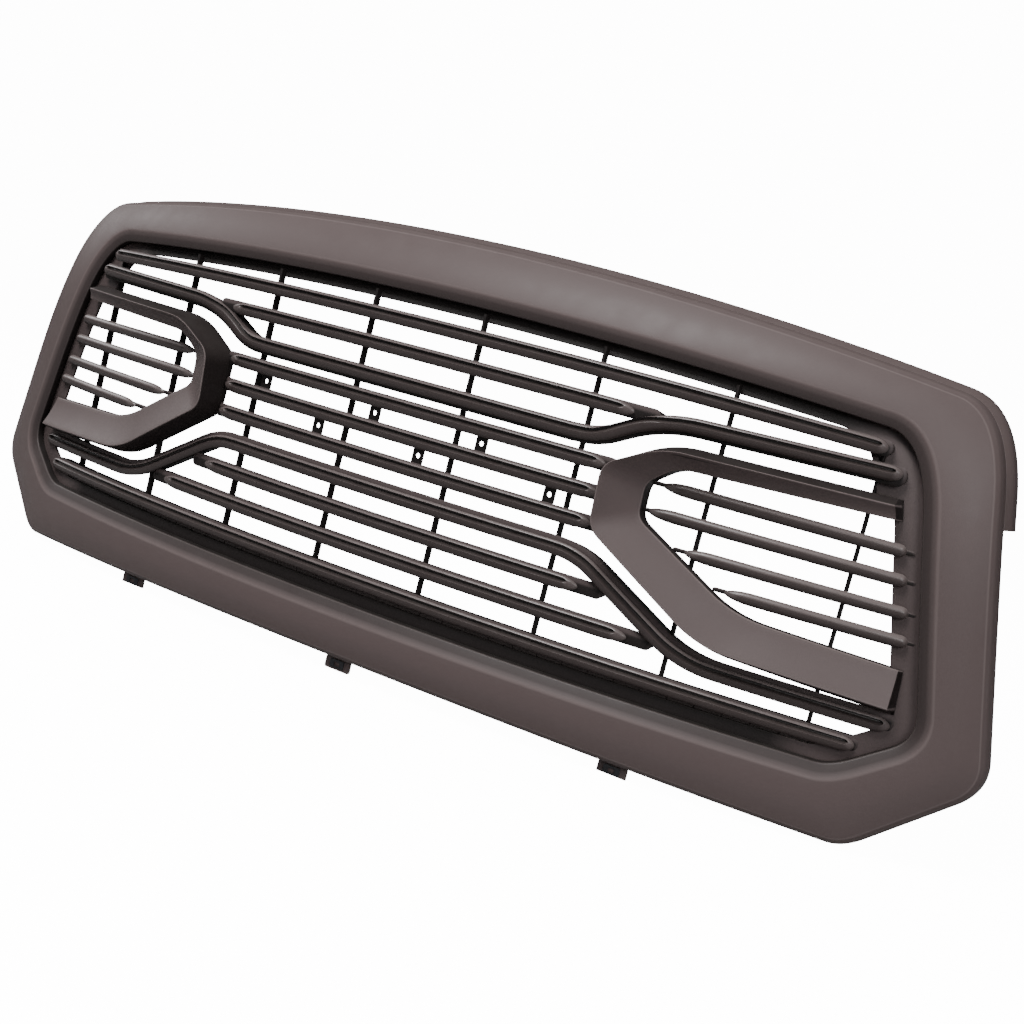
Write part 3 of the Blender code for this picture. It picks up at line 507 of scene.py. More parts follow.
def slat_tree():
    tree = bpy.data.node_groups.new("slat", "GeometryNodeTree")
    socket(tree, "Outline", "INPUT", "NodeSocketGeometry")
    for name, value in (("Crest", 0.008), ("Edge Height", 0.25), ("Groove", 0.5), ("Groove Start", 0.45),
                        ("Ridge Share", 0.65), ("Depth", 0.0), ("Draft", 0.0), ("Gap", 0.0004),
                        ("Bow", BOW), ("Bow Ends", BOW_ENDS)):
        socket(tree, name, "INPUT", "NodeSocketFloat", value)
    socket(tree, "Steps", "INPUT", "NodeSocketInt", 16)
    socket(tree, "Home", "INPUT", "NodeSocketVector")
    socket(tree, "Finish", "INPUT", "NodeSocketMaterial")
    socket(tree, "Slat", "OUTPUT", "NodeSocketGeometry")
    entry = place_node(tree, "NodeGroupInput").outputs
    back_share = 0.14

    def step(operation, *values):
        return calculate(tree, operation, *values)

    def across_space(operation, first, second):
        return calculate(tree, operation, first, second, kind="ShaderNodeVectorMath")

    def made_by(kind, links, **settings):
        return place_node(tree, kind, links, **settings).outputs[0]

    def store(geometry, name, value, data_type="FLOAT"):
        return made_by("GeometryNodeStoreNamedAttribute", {"Geometry": geometry, "Name": name, "Value": value},
                       data_type=data_type)

    def read(name, data_type):
        return made_by("GeometryNodeInputNamedAttribute", {"Name": name}, data_type=data_type)

    def choose(condition, no, yes):
        return step("MULTIPLY_ADD", condition, step("SUBTRACT", yes, no), no)

    loop = made_by("GeometryNodeMeshToCurve", {"Mesh": entry["Outline"]})
    loop = store(loop, "rail", made_by("GeometryNodeInputPosition", None), "FLOAT_VECTOR")
    line = made_by("GeometryNodeCurvePrimitiveLine", {"End": (0.0, 0.0, 0.001)})
    line = made_by("GeometryNodeResampleCurve", {"Curve": line, "Count": entry["Steps"]})
    line = store(line, "across", made_by("GeometryNodeSplineParameter", None))
    sheet = made_by("GeometryNodeCurveToMesh", {"Curve": loop, "Profile Curve": line})
    across, ridge = read("across", "FLOAT"), read("ridge", "FLOAT")
    rail, groove_line = read("rail", "FLOAT_VECTOR"), read("groove", "FLOAT_VECTOR")
    is_front = step("GREATER_THAN", across, back_share)
    front_in = step("DIVIDE", step("SUBTRACT", across, back_share), 1.0 - back_share)
    front_in = step("MAXIMUM", front_in, 0.0)
    back_in = step("MAXIMUM", step("SUBTRACT", 1.0, step("DIVIDE", across, back_share)), 0.0)
    back_in = step("MULTIPLY_ADD", back_in, step("SUBTRACT", 1.0, entry["Draft"]), entry["Draft"])
    inward = choose(is_front, back_in, front_in)
    left_over = step("SUBTRACT", 1.0, front_in)
    dome = step("SQRT", step("SUBTRACT", 1.0, step("MULTIPLY", left_over, left_over)))
    dip = made_by("ShaderNodeMapRange", {"Value": front_in, "From Min": entry["Groove Start"], "From Max": 0.9},
                  interpolation_type="SMOOTHSTEP")
    rise = step("MULTIPLY_ADD", dome, step("SUBTRACT", 1.0, entry["Edge Height"]), entry["Edge Height"])
    plain = step("MULTIPLY", rise, choose(ridge, 1.0, entry["Ridge Share"]))
    floor_level = step("SUBTRACT", 1.0, entry["Groove"])
    dipped = step("ADD", plain, step("MULTIPLY", dip, step("SUBTRACT", floor_level, plain)))
    has_groove = step("GREATER_THAN", entry["Groove"], 0.001)
    front_height = step("MULTIPLY", choose(has_groove, plain, dipped), entry["Crest"])
    back_height = step("MULTIPLY", entry["Depth"], -1.0)
    height = step("ADD", choose(is_front, back_height, front_height), entry["Gap"])

    reach = across_space("SUBTRACT", groove_line, rail)
    flat = across_space("ADD", rail, scaled(tree, reach, inward))
    parts = place_node(tree, "ShaderNodeSeparateXYZ", {"Vector": flat}).outputs
    square = step("MULTIPLY", parts["X"], parts["X"])
    ends = step("MULTIPLY", step("MULTIPLY", square, square), entry["Bow Ends"])
    depth = step("SUBTRACT", step("MULTIPLY_ADD", square, entry["Bow"], ends), height)
    place = made_by("ShaderNodeCombineXYZ", {"X": parts["X"], "Y": depth, "Z": parts["Z"]})
    moved = made_by("GeometryNodeSetPosition",
                    {"Geometry": sheet, "Position": across_space("ADD", place, entry["Home"])})
    # Painted highlight along the ridge's crest, and painted shade darkening the groove.
    crown = step("MULTIPLY", step("MULTIPLY", is_front, ridge), step("SUBTRACT", 1.0, dip))
    marked = store(moved, "edge", step("MULTIPLY", crown, 0.9))
    marked = store(marked, "bare", step("MULTIPLY", step("MULTIPLY", dip, has_groove), 0.8))
    closed = made_by("GeometryNodeMergeByDistance", {"Geometry": marked, "Distance": 0.00001})
    real = made_by("GeometryNodeRealizeInstances", {"Geometry": closed})
    dressed = made_by("GeometryNodeSetMaterial", {"Geometry": real, "Material": entry["Finish"]})
    place_node(tree, "NodeGroupOutput", {0: dressed})
    return tree


slat_maker = slat_tree()


def grow(name, base, tree, values):
    """Runs a tree on a base mesh with the named inputs, and gives back the plain mesh object."""
    holder = put(name, base)
    change = holder.modifiers.new("grow", "NODES")
    change.node_group = tree
    for item in tree.interface.items_tree:
        if item.item_type == "SOCKET" and item.in_out == "INPUT" and item.name in values:
            change[item.identifier] = values[item.name]
    bpy.context.view_layer.update()
    made = bpy.data.meshes.new_from_object(holder.evaluated_get(bpy.context.evaluated_depsgraph_get()))
    bpy.data.objects.remove(holder, do_unlink=True)
    return put(name, made)


def square_to(path, index):
    """The unit vector across a flat path at one of its points."""
    along = (path[min(index + 1, len(path) - 1)] - path[max(index - 1, 0)]).normalized()
    return Vector((-along.y, along.x))


def slat_base(path, height, tips, groove_share):
    """The closed flat outline of a slat from its middle line, with the groove's place for each point.

    The tips are how long the rounding of the first and the last end is. The groove share is its height up
    the slat, one value for each point of the path."""
    reach = [0.0]
    for near, far in zip(path, path[1:]):
        reach.append(reach[-1] + (far - near).length)
    total = reach[-1]
    lower, upper, groove, within = [], [], [], []
    for index, point in enumerate(path):
        up = square_to(path, index) * height
        near_end = min(reach[index] / tips[0], (total - reach[index]) / tips[1], 1.0)
        size = math.sqrt(1.0 - (1.0 - near_end) ** 2)
        lower.append(point - up / 2 * size)
        upper.append(point + up / 2 * size)
        groove.append(point + up * (groove_share[index] - 0.5))
        within.append(near_end)
    inner = [index for index, share in enumerate(within) if share >= 0.55]
    points, targets, ridges = [], [], []
    for side, loop in ((0, range(len(path))), (1, reversed(range(len(path))))):
        for index in loop:
            if within[index] < 1e-6 and side == 1:
                continue
            points.append((lower, upper)[side][index])
            targets.append(groove[min(max(index, inner[0]), inner[-1])])
            mix = 0.5 * max(0.0, 1.0 - within[index] / 0.6)
            ridges.append(mix if side == 0 else 1.0 - mix)
    mesh = bpy.data.meshes.new("outline")
    count = len(points)
    mesh.from_pydata([(point.x, 0.0, point.y) for point in points],
                     [(index, (index + 1) % count) for index in range(count)], [])
    flat = [value for target in targets for value in (target.x, 0.0, target.y)]
    mesh.attributes.new("groove", "FLOAT_VECTOR", "POINT").data.foreach_set("vector", flat)
    mesh.attributes.new("ridge", "FLOAT", "POINT").data.foreach_set("value", ridges)
    return mesh


def end_dense(start, end, tips, spacing=0.009, steps=9):
    """Places between the two ends, closer together within each rounded tip."""
    close = [1 - math.cos(math.pi / 2 * step / steps) for step in range(steps + 1)]
    first, last = start + tips[0], end - tips[1]
    count = max(2, round((last - first) / spacing))
    middle = [first + (last - first) * step / count for step in range(1, count)]
    near_start = [start + tips[0] * share for share in close]
    return near_start + middle + [end - tips[1] * share for share in reversed(close)]


# ---- Slat trims ----
# Ten painted strips clip over the insert's blades. Each has a round bead below, a narrow ridge above and
# a groove between, and the two run together at its tips. Two of them step round the C-shaped bars.

TRIM_HEIGHT = 0.0138
GROOVE_SHARE = 0.76
SLAT_HEIGHTS = (0.1232, 0.0940, 0.0629, 0.0400, 0.0119, -0.0168, -0.0470, -0.0763, -0.1078, -0.1402)
TRIM_REACH = (0.456, 0.237, None, 0.2236, 0.2236, 0.2236, None, 0.227, 0.283, 0.496)
TURNS = {2: ((0.2096, 0.0), (0.2654, 0.0304), (0.473, 0.0343)),
         6: ((0.2153, 0.0), (0.332, -0.0680), (0.519, -0.0700))}
RIB_HALF_PITCH = 0.0635


def arched(height, x):
    return height - (0.118 * height + 1.22 * height * height) * x * x


def straight_line(height, reach, lift, tip):
    """The middle line of a straight slat: its lower edge follows the arch, and the lift is half its height."""
    return [Vector((x, arched(height, x) + lift)) for x in end_dense(-reach, reach, (tip, tip))]


def stepped_line(height, turns, lift, tip, longer=0.0):
    """The middle line of a slat that steps round a C-shaped bar at each end."""
    first, second, last = [Vector((x, height + rise)) for x, rise in turns]
    last.x += longer
    bend = rounded([(first.x - RIB_HALF_PITCH, height), first, second, last], (0.020, 0.034), 10)[1:-1]
    run_start, run_end = bend[-1], last
    run = [run_start.lerp(run_end, (x - run_start.x) / (run_end.x - run_start.x))
           for x in end_dense(run_start.x + 0.004, run_end.x, (tip, tip)) if x > run_start.x + tip]
    right = bend + run
    inner = [Vector((x, arched(height, x))) for x in np.linspace(0.0, bend[0].x - 0.008, 22)]
    half = inner + right
    lifted = []
    for index, point in enumerate(half):
        lifted.append(point + square_to(half, index) * lift)
    lifted[0].x = 0.0
    return [Vector((-point.x, point.y)) for point in reversed(lifted[1:])] + lifted


def slat_line(index, reaches, lift, tip, longer=0.0):
    """The middle line of one long slat. The third and the seventh step round the bars."""
    if index in TURNS:
        return stepped_line(SLAT_HEIGHTS[index], TURNS[index], lift, tip, longer)
    return straight_line(SLAT_HEIGHTS[index], reaches[index], lift, tip)


LONG_TIPS = {1: 0.024, 3: 0.020, 4: 0.020, 5: 0.020, 7: 0.024, 8: 0.024}
TRIM_TIP = 0.013
for index in range(len(SLAT_HEIGHTS)):
    tip = LONG_TIPS.get(index, TRIM_TIP)
    line = slat_line(index, TRIM_REACH, TRIM_HEIGHT / 2, tip)
    shares = []
    for point in line:
        fade = 0.0
        if index == 2:
            fade = max(0.0, 1.0 - abs(abs(point.x) - 0.236) / 0.034)
        shares.append(GROOVE_SHARE + 0.22 * min(1.0, fade * 1.6))
    base = slat_base(line, TRIM_HEIGHT, (tip, tip), shares)
    node = f"slat_trim_{index + 1:02d}"
    trim = grow(node + "_strip", base, slat_maker, {
        "Crest": TRIM_CREST - 0.0004, "Edge Height": 0.42, "Groove": 0.66, "Groove Start": 0.62,
        "Ridge Share": 0.72, "Steps": 20, "Home": home, "Finish": trim_paint})
    trim = settle(trim, sharp=math.radians(50))
    adopt(trim, trim_paint, "trim_paint", node)


# ---- Short trims ----
# Four round strips on each side cross the space inside the C-shaped bar. They have no groove. Their
# inner ends are drawn out to a point beside the bar's inner wall, and their outer ends are round.

SHORT_HEIGHT = 0.0118
SHORT_MIDDLES = (0.0432, 0.0171, -0.0108, -0.0356)
SHORT_TIPS = (0.026, 0.007)
for side, word in ((-1, "left"), (1, "right")):
    for number, middle in enumerate(SHORT_MIDDLES, 1):
        node = f"short_trim_{word}_{number}"
        low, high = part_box(node)
        near, far = sorted((abs(low.x), abs(high.x)))
        places = end_dense(near, far, SHORT_TIPS)
        line = [Vector((side * x, arched(middle, x))) for x in places][::side]
        base = slat_base(line, SHORT_HEIGHT, SHORT_TIPS[::side], [0.5] * len(line))
        strip = grow(node + "_strip", base, slat_maker, {
            "Crest": 0.0073, "Edge Height": 0.30, "Groove": 0.0, "Ridge Share": 1.0, "Steps": 14,
            "Home": home, "Finish": trim_paint})
        adopt(settle(strip, sharp=math.radians(50)), trim_paint, "trim_paint", node)


# ---- C-shaped bars ----
# One painted shell on each side, the boldest feature. Its nose stands furthest out and its face is
# gently dished between a raised outer edge and a low inner edge. A wall closes each end. The walls carry
# painted shade and the face's edges a painted highlight.

BAR_OUTER = (
    (0.479, 0.0784, 0.0183), (0.281, 0.0756, 0.0370), (0.2315, 0.0488, 0.0363),
    (0.2318, -0.0104, 0.0300), (0.3508, -0.0855, 0.0252), (0.5185, -0.0934, 0.0204),
)
BAR_INNER = (
    (0.482, 0.0662, 0.0120), (0.2918, 0.0611, 0.0165), (0.2666, 0.0414, 0.0130),
    (0.2673, 0.0084, 0.0110), (0.3692, -0.0523, 0.0060), (0.5163, -0.0593, 0.0056),
)
BAR_CUT, BAR_WALL, BAR_DRAFT, BAR_DISH, BAR_REST = 0.013, 0.0025, 0.006, 0.0015, 0.0009
END_SLANT, END_HEIGHT, BAR_BOSS_LENGTH = 0.0035, 0.10, 0.0050


def bar_paths():
    """Matching points of the outer and inner front edges and of the outer base, with the runs divided."""
    outer = rounded(BAR_OUTER, (BAR_CUT * 1.6, BAR_CUT, BAR_CUT, BAR_CUT * 2.2), 10)
    inner = rounded(BAR_INNER, (BAR_CUT, BAR_CUT * 0.7, BAR_CUT * 0.7, BAR_CUT * 2.2), 10)
    fine_outer, fine_inner = [outer[0]], [inner[0]]
    for index in range(1, len(outer)):
        count = max(1, math.ceil((outer[index] - outer[index - 1]).length / 0.010))
        for step in range(1, count + 1):
            fine_outer.append(outer[index - 1].lerp(outer[index], step / count))
            fine_inner.append(inner[index - 1].lerp(inner[index], step / count))
    for path in (fine_outer, fine_inner):
        for end, neighbour in ((0, 1), (-1, -2)):
            inset = (path[neighbour] - path[end]).normalized() * END_SLANT
            at = 1 if end == 0 else len(path) - 1
            path.insert(at, path[end] + inset)
    return fine_outer, fine_inner


def bar_rows(side):
    """The bar's section at every point of its path: outside, dished face, inner edge, then back inside."""
    outer, inner = bar_paths()
    rows = []
    for index, (top, ins) in enumerate(zip(outer, inner)):
        across = Vector((ins.x - top.x, ins.y - top.y)).normalized()
        height = END_HEIGHT if index in (0, len(outer) - 1) else 1.0

        def spot(anchor, inset, proud):
            x, z = anchor.x + across.x * inset, anchor.y + across.y * inset
            return upright(side * x, z, BAR_REST + (proud - BAR_REST) * height)

        middle = top.lerp(ins, 0.5)
        quarter, last = top.lerp(ins, 0.25), top.lerp(ins, 0.75)
        section = [
            spot(top, -BAR_DRAFT, BAR_REST), spot(top, 0.0, top.z),
            spot(quarter, 0.0, quarter.z - BAR_DISH * 0.75), spot(middle, 0.0, middle.z - BAR_DISH),
            spot(last, 0.0, last.z - BAR_DISH * 0.75), spot(ins, 0.0, ins.z), spot(ins, 0.0, BAR_REST),
            spot(ins, -BAR_WALL, BAR_REST), spot(ins, -BAR_WALL, ins.z - BAR_WALL),
            spot(middle, 0.0, middle.z - BAR_DISH - BAR_WALL), spot(top, BAR_WALL, top.z - BAR_WALL * 1.4),
            spot(top, BAR_WALL - BAR_DRAFT, BAR_REST),
        ]
        seam = section[-1].lerp(section[0], 0.5)
        cuts = (0.0006, 0.0018, 0.008, 0.008, 0.008, 0.0014, 0.0006, 0.0006, 0.0005, 0.004, 0.001, 0.0006)
        rows.append(rounded([seam, *section, seam], cuts, corner_steps)[:-1])
    return rows


def on_corner(count, corners, most):
    """Values round a section, which peak on the named corners of it."""
    values = [0.0] * count
    for corner in corners:
        for step in range(corner_steps + 1):
            values[1 + corner * (corner_steps + 1) + step] = most * math.sin(math.pi * step / corner_steps)
    return values


for side, word in ((-1, "left"), (1, "right")):
    rows = bar_rows(side)
    # Painted highlight along the face's outer and inner edges.
    face_edge_highlight = on_corner(len(rows[0]), (1, 5), 0.7)
    # Painted shade: from just past the face's two edges the walls are darkened towards black, and the end walls
    # most.
    face_start, face_end = 1 + (corner_steps + 1) + 1, 1 + 6 * (corner_steps + 1) - 1
    wall_shade_row = [0.0 if face_start <= place < face_end else 0.85 for place in range(len(rows[0]))]
    end_wall_shade_row = [0.95] * len(rows[0])
    near_start = [near.lerp(far, 0.9) for near, far in zip(rows[0], rows[1])]
    near_end = [near.lerp(far, 0.9) for near, far in zip(rows[-1], rows[-2])]
    rows = [rows[0], near_start, *rows[1:-1], near_end, rows[-1]]
    wall_shade_rows = [end_wall_shade_row] * 2 + [wall_shade_row] * (len(rows) - 4) + [end_wall_shade_row] * 2
    bar = skin(f"c_bar_{word}_shell", rows, caps=True, edges=[face_edge_highlight] * len(rows), bare=wall_shade_rows)
    bosses = []
    for number in range(1, 4):
        low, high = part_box(f"bar_screw_{word}_{number}")
        middle = (low + high) / 2
        base = upright(middle.x, middle.z - home.z, BAR_REST).y
        bosses.append(boss(BAR_BOSS_LENGTH, (middle.x, base - 0.0030, middle.z)))
    bar = settle(bar, *bosses)
    adopt(bar, satin_paint, "surround_paint", f"c_bar_{word}")


# ---- Insert ----
# One black moulding behind everything: a rim round the window, blades that carry the trims, upright
# ribs, a pad behind each C-shaped bar, a closed floor panel and six small drilled badge plates.

RIM_INSIDE, RIM_OUTSIDE, RIM_WALL, CLEARANCE = 0.012, 0.017, 0.004, 0.0004
BLADE_HEIGHT, BLADE_DEPTH, BLADE_TIP = 0.0150, 0.022, 0.0065
BLADE_REACH = (0.459, 0.260, None, 0.2330, 0.2330, 0.2330, None, 0.250, 0.306, 0.499)
RIBBON_EXTRA = 0.0035
RIM_SIDE_EXTRA, RIM_SIDE_START, RIM_SIDE_BLEND = 0.0125, 0.425, 0.035
RIM_CORNER_EXTRA, RIM_CORNER_Z, RIM_CORNER_BLEND = 0.016, 0.068, 0.014


def rim_edge():
    """The rim's inner edge. At both sides it stands further in and backs the slat ends, most of all at the
    two upper corners."""
    edge = []
    for point in grown(window, -RIM_INSIDE):
        beside = min(1.0, max(0.0, (abs(point.x) - RIM_SIDE_START) / RIM_SIDE_BLEND))
        above = min(1.0, max(0.0, (point.y - RIM_CORNER_Z) / RIM_CORNER_BLEND))
        inset = (RIM_SIDE_EXTRA + RIM_CORNER_EXTRA * above) * beside
        edge.append(Vector((point.x - math.copysign(inset, point.x), point.y)))
    return edge


rim_inside = rim_edge()
rim_levels = (
    (grown(window, 0.0), CLEARANCE, 0.0),
    (grown(window, RIM_OUTSIDE), CLEARANCE, 0.0006),
    (grown(window, RIM_OUTSIDE), RIM_WALL, 0.0006),
    (rim_inside, RIM_WALL, 0.0008),
    (rim_inside, CLEARANCE, 0.0012),
    (grown(window, 0.0), CLEARANCE, 0.0),
)
rim_columns = []
for index in range(len(window)):
    points = [leaning(*loop[index], -depth) for loop, depth, _ in rim_levels]
    rim_columns.append(rounded(points, [level[2] for level in rim_levels[1:-1]], corner_steps)[:-1])
# The rim's front face catches some of the paint at both sides, as does the floor panel.
rim_wear = [0.0] * len(rim_columns[0])
for place in range(len(rim_wear) - corner_steps - 1, len(rim_wear)):
    rim_wear[place] = 0.9
rim_wear[0] = 0.9
beside = [min(1.0, max(0.0, (abs(point.x) - RIM_SIDE_START) / RIM_SIDE_BLEND)) for point in window]
insert = skin("insert_moulding", rim_columns, wrap_rows=True,
              edges=[[value * share for value in rim_wear] for share in beside])

insert_parts = []
for index in range(len(SLAT_HEIGHTS)):
    extra_low = RIBBON_EXTRA if index == 2 else 0.0
    extra_high = RIBBON_EXTRA if index == 6 else 0.0
    tall = BLADE_HEIGHT + extra_low + extra_high
    lift = (BLADE_HEIGHT + extra_high - extra_low) / 2
    line = slat_line(index, BLADE_REACH, lift, BLADE_TIP, 0.003)
    base = slat_base(line, tall, (BLADE_TIP, BLADE_TIP), [0.5] * len(line))
    insert_parts.append(grow("blade", base, slat_maker, {
        "Crest": 0.0012, "Edge Height": 0.0, "Groove": 0.0, "Ridge Share": 1.0, "Depth": BLADE_DEPTH,
        "Draft": 0.14, "Gap": -0.0012, "Steps": 12, "Home": home, "Finish": black_moulding}))

for side in (-1, 1):
    for number, middle in enumerate(SHORT_MIDDLES, 1):
        low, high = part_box(f"short_trim_{'left' if side < 0 else 'right'}_{number}")
        near, far = sorted((abs(low.x), abs(high.x)))
        places = end_dense(near - 0.012, far + 0.006, (0.003, 0.003), steps=4)
        line = [Vector((side * x, arched(middle, x))) for x in places][::side]
        base = slat_base(line, 0.0042, (0.003, 0.003), [0.5] * len(line))
        insert_parts.append(grow("short_blade", base, slat_maker, {
            "Crest": 0.0004, "Edge Height": 0.0, "Groove": 0.0, "Ridge Share": 1.0, "Depth": BLADE_DEPTH * 0.8,
            "Draft": 0.1, "Gap": -0.0007, "Steps": 8, "Home": home, "Finish": black_moulding}))

# The upright ribs are one rounded blank set out along the bow, each stretched to its own height.


def set_out_tree():
    """Copies a blank onto points, each turned and stretched as its point says."""
    tree = bpy.data.node_groups.new("set out", "GeometryNodeTree")
    socket(tree, "Places", "INPUT", "NodeSocketGeometry")
    socket(tree, "Blank", "INPUT", "NodeSocketObject")
    socket(tree, "Finish", "INPUT", "NodeSocketMaterial")
    socket(tree, "Pieces", "OUTPUT", "NodeSocketGeometry")
    entry = place_node(tree, "NodeGroupInput").outputs
    blank = place_node(tree, "GeometryNodeObjectInfo", {"Object": entry["Blank"]}, transform_space="ORIGINAL")

    def read(name):
        node = place_node(tree, "GeometryNodeInputNamedAttribute", {"Name": name}, data_type="FLOAT_VECTOR")
        return node.outputs["Attribute"]

    points = place_node(tree, "GeometryNodeMeshToPoints", {"Mesh": entry["Places"]})
    turn = place_node(tree, "FunctionNodeEulerToRotation", {"Euler": read("turn")}).outputs["Rotation"]
    copies = place_node(tree, "GeometryNodeInstanceOnPoints", {
        "Points": points.outputs["Points"], "Instance": blank.outputs["Geometry"],
        "Rotation": turn, "Scale": read("stretch")})
    real = place_node(tree, "GeometryNodeRealizeInstances", {"Geometry": copies.outputs["Instances"]})
    dressed = place_node(tree, "GeometryNodeSetMaterial",
                         {"Geometry": real.outputs["Geometry"], "Material": entry["Finish"]})
    place_node(tree, "NodeGroupOutput", {0: dressed.outputs["Geometry"]})
    return tree


set_out = set_out_tree()


def copies_of(blank, name, places, finish_made):
    """The blank at every place, as (point, turn, stretch), in one mesh. The blank is used up."""
    mesh = bpy.data.meshes.new("places")
    mesh.from_pydata([tuple(point) for point, _, _ in places], [], [])
    for key, column in (("turn", 1), ("stretch", 2)):
        flat = [value for place in places for value in place[column]]
        mesh.attributes.new(key, "FLOAT_VECTOR", "POINT").data.foreach_set("vector", flat)
    made = grow(name, mesh, set_out, {"Blank": blank, "Finish": finish_made})
    bpy.data.objects.remove(blank, do_unlink=True)
    return made


RIB_WIDTH, RIB_FRONT, RIB_BACK, RIB_BLANK = 0.003, 0.007, 0.016, 0.1
RIB_STEPS = (0.5, 1.5, 2.5, 3.555)
blank = settle(plate("rib", [soft_box(RIB_WIDTH, RIB_BACK - RIB_FRONT, 0.0012, 4)], RIB_BLANK, 0.0,
                     Matrix.Identity(4)))
rib_places = []
for step in RIB_STEPS:
    for x in (-step * 2 * RIB_HALF_PITCH, step * 2 * RIB_HALF_PITCH):
        top = WINDOW_TOP - WINDOW_ARCH * x * x - RIM_INSIDE * 0.4
        if step > 3:
            top = arched(SLAT_HEIGHTS[0], x) + BLADE_HEIGHT / 2
        low = WINDOW_BOTTOM + RIM_INSIDE * 0.5
        middle = home + Vector((x, bow(x) + (RIB_FRONT + RIB_BACK) / 2, (top + low) / 2))
        rib_places.append((middle, (0.0, 0.0, 0.0), (1.0, 1.0, (top - low) / RIB_BLANK)))
insert_parts.append(copies_of(blank, "ribs", rib_places, black_moulding))

# A pad behind each C-shaped bar, the floor panel with its fine upright grooves, and the badge plates.
PAD_PROUD, PAD_WALL = 0.0005, 0.006
for side in (-1, 1):
    outer, inner = bar_paths()
    pad_rows = []
    for top, ins in zip(outer, inner):
        away = Vector((top.x - ins.x, top.y - ins.y)).normalized() * BAR_DRAFT
        corners = [(top.x + away.x, top.y + away.y, PAD_PROUD), (ins.x, ins.y, PAD_PROUD),
                   (ins.x, ins.y, PAD_PROUD - PAD_WALL), (top.x + away.x, top.y + away.y, PAD_PROUD - PAD_WALL)]
        points = [upright(side * x, z, proud) for x, z, proud in corners]
        seam = points[-1].lerp(points[0], 0.5)
        pad_rows.append(rounded([seam, *points, seam], (0.0006,) * 4, 2)[:-1])
    insert_parts.append(skin("pad", pad_rows, caps=True))

PANEL_TOP, PANEL_BOTTOM, PANEL_REACH, PANEL_FRONT, PANEL_BACK = -0.1360, -0.1525, 0.482, 0.002, 0.0075
PANEL_PITCH, PANEL_GROOVE = 0.0254, 0.0012
panel_columns = [-PANEL_REACH]
x = -math.floor(PANEL_REACH / PANEL_PITCH) * PANEL_PITCH
while x < PANEL_REACH:
    panel_columns += [x + PANEL_GROOVE * share for share in (-0.5, -0.2, 0.2, 0.5)]
    panel_columns += [x + PANEL_PITCH * 0.33, x + PANEL_PITCH * 0.67]
    x += PANEL_PITCH
panel_columns = [place for place in panel_columns if abs(place) <= PANEL_REACH] + [PANEL_REACH]
panel_rows = []
for place in panel_columns:
    within = abs(place / PANEL_PITCH - round(place / PANEL_PITCH)) * PANEL_PITCH
    dip = 0.0010 if within < PANEL_GROOVE * 0.3 else 0.0
    panel_rows.append([upright(place, z, -depth) for z, depth in (
        (PANEL_BOTTOM, PANEL_FRONT + dip), (PANEL_TOP, PANEL_FRONT + dip),
        (PANEL_TOP, PANEL_BACK), (PANEL_BOTTOM, PANEL_BACK))])
insert_parts.append(skin("floor_panel", panel_rows, caps=True, edges=[[0.55] * 4] * len(panel_rows)))

PLATE_WIDTH, PLATE_WALL, PLATE_HOLE, PLATE_SETBACK = 0.012, 0.003, 0.0026, 0.004
PLATE_PLACES = ((-0.174, 3), (-0.030, 3), (0.094, 3), (-0.094, 4), (0.030, 4), (0.174, 4))
for x, index in PLATE_PLACES:
    low = SLAT_HEIGHTS[index + 1] + BLADE_HEIGHT * 0.7
    high = SLAT_HEIGHTS[index] + BLADE_HEIGHT * 0.3
    place = home + Vector((x, bow(x) + PLATE_SETBACK + PLATE_WALL / 2, (low + high) / 2))
    edges = [soft_box(PLATE_WIDTH, high - low, 0.0015), circle(0, 0, PLATE_HOLE)]
    insert_parts.append(plate("badge_plate", edges, PLATE_WALL, 0.0004,
                              Matrix.Translation(place) @ FACING_BACK))
insert = settle(insert, *insert_parts)
adopt(insert, black_moulding, "moulded_black", "insert_carrier")


# ---- Screws, retainers and clips ----
# Sixteen zinc-plated pan-head screws are driven in from behind. Four nylon retainers push down through
# the flange's tabs, and three folded spring clips grip the surround's lower tabs.


def turned(name, profile, steps=40):
    """A turned piece about Z from its (radius, height) profile, which starts and ends on the axis."""
    turn = 2 * math.pi / steps
    rings = [[(radius * math.cos(turn * step), radius * math.sin(turn * step), height) for step in range(steps)]
             for radius, height in profile]
    return settle(skin(name, rings), sharp=math.radians(45))


def hollowed(piece, outline_points, depth, place):
    """The piece with a straight-sided recess of this outline cut into it."""
    tool = settle(plate("recess", [outline_points], depth, 0.0, place))
    cut = piece.modifiers.new("recess", "BOOLEAN")
    cut.operation = "DIFFERENCE"
    cut.solver = "EXACT"
    cut.object = tool
    made = settle(piece, sharp=math.radians(45))
    bpy.data.objects.remove(tool, do_unlink=True)
    return made


def cross(arm, half):
    """The outline of a cross recess."""
    return [(half, -arm), (half, -half), (arm, -half), (arm, half), (half, half), (half, arm),
            (-half, arm), (-half, half), (-arm, half), (-arm, -half), (-half, -half), (-half, -arm)]


SHANK, GRIP, HEAD, HEAD_HEIGHT, THREAD = 0.0018, 0.008, 0.0045, 0.003, 0.00035
screw_profile = [(0.0, GRIP), (SHANK * 0.35, GRIP), (SHANK * 0.75, GRIP - 0.0009)]
turns = 9
for step in range(turns):
    base = GRIP - 0.0014 - (GRIP - 0.0022) * step / turns
    screw_profile += [(SHANK - THREAD, base), (SHANK, base - 0.00028), (SHANK - THREAD, base - 0.00052)]
screw_profile += [(SHANK, 0.0004), (SHANK, 0.0), (HEAD - 0.0002, 0.0), (HEAD, -0.0003), (HEAD, -0.0012)]
for step in range(1, 7):
    angle = math.pi / 2 * step / 6
    radius = HEAD - 0.0016 * (1 - math.cos(angle)) - 0.0012 * step / 6
    screw_profile.append((radius, -0.0012 - 0.0018 * math.sin(angle)))
screw_profile.append((0.0, -HEAD_HEIGHT))
DRIVEN = (math.pi / 2, 0.0, 0.0)
bar_screw_nodes = [f"bar_screw_{word}_{number}" for word in ("left", "right") for number in (1, 2, 3)]
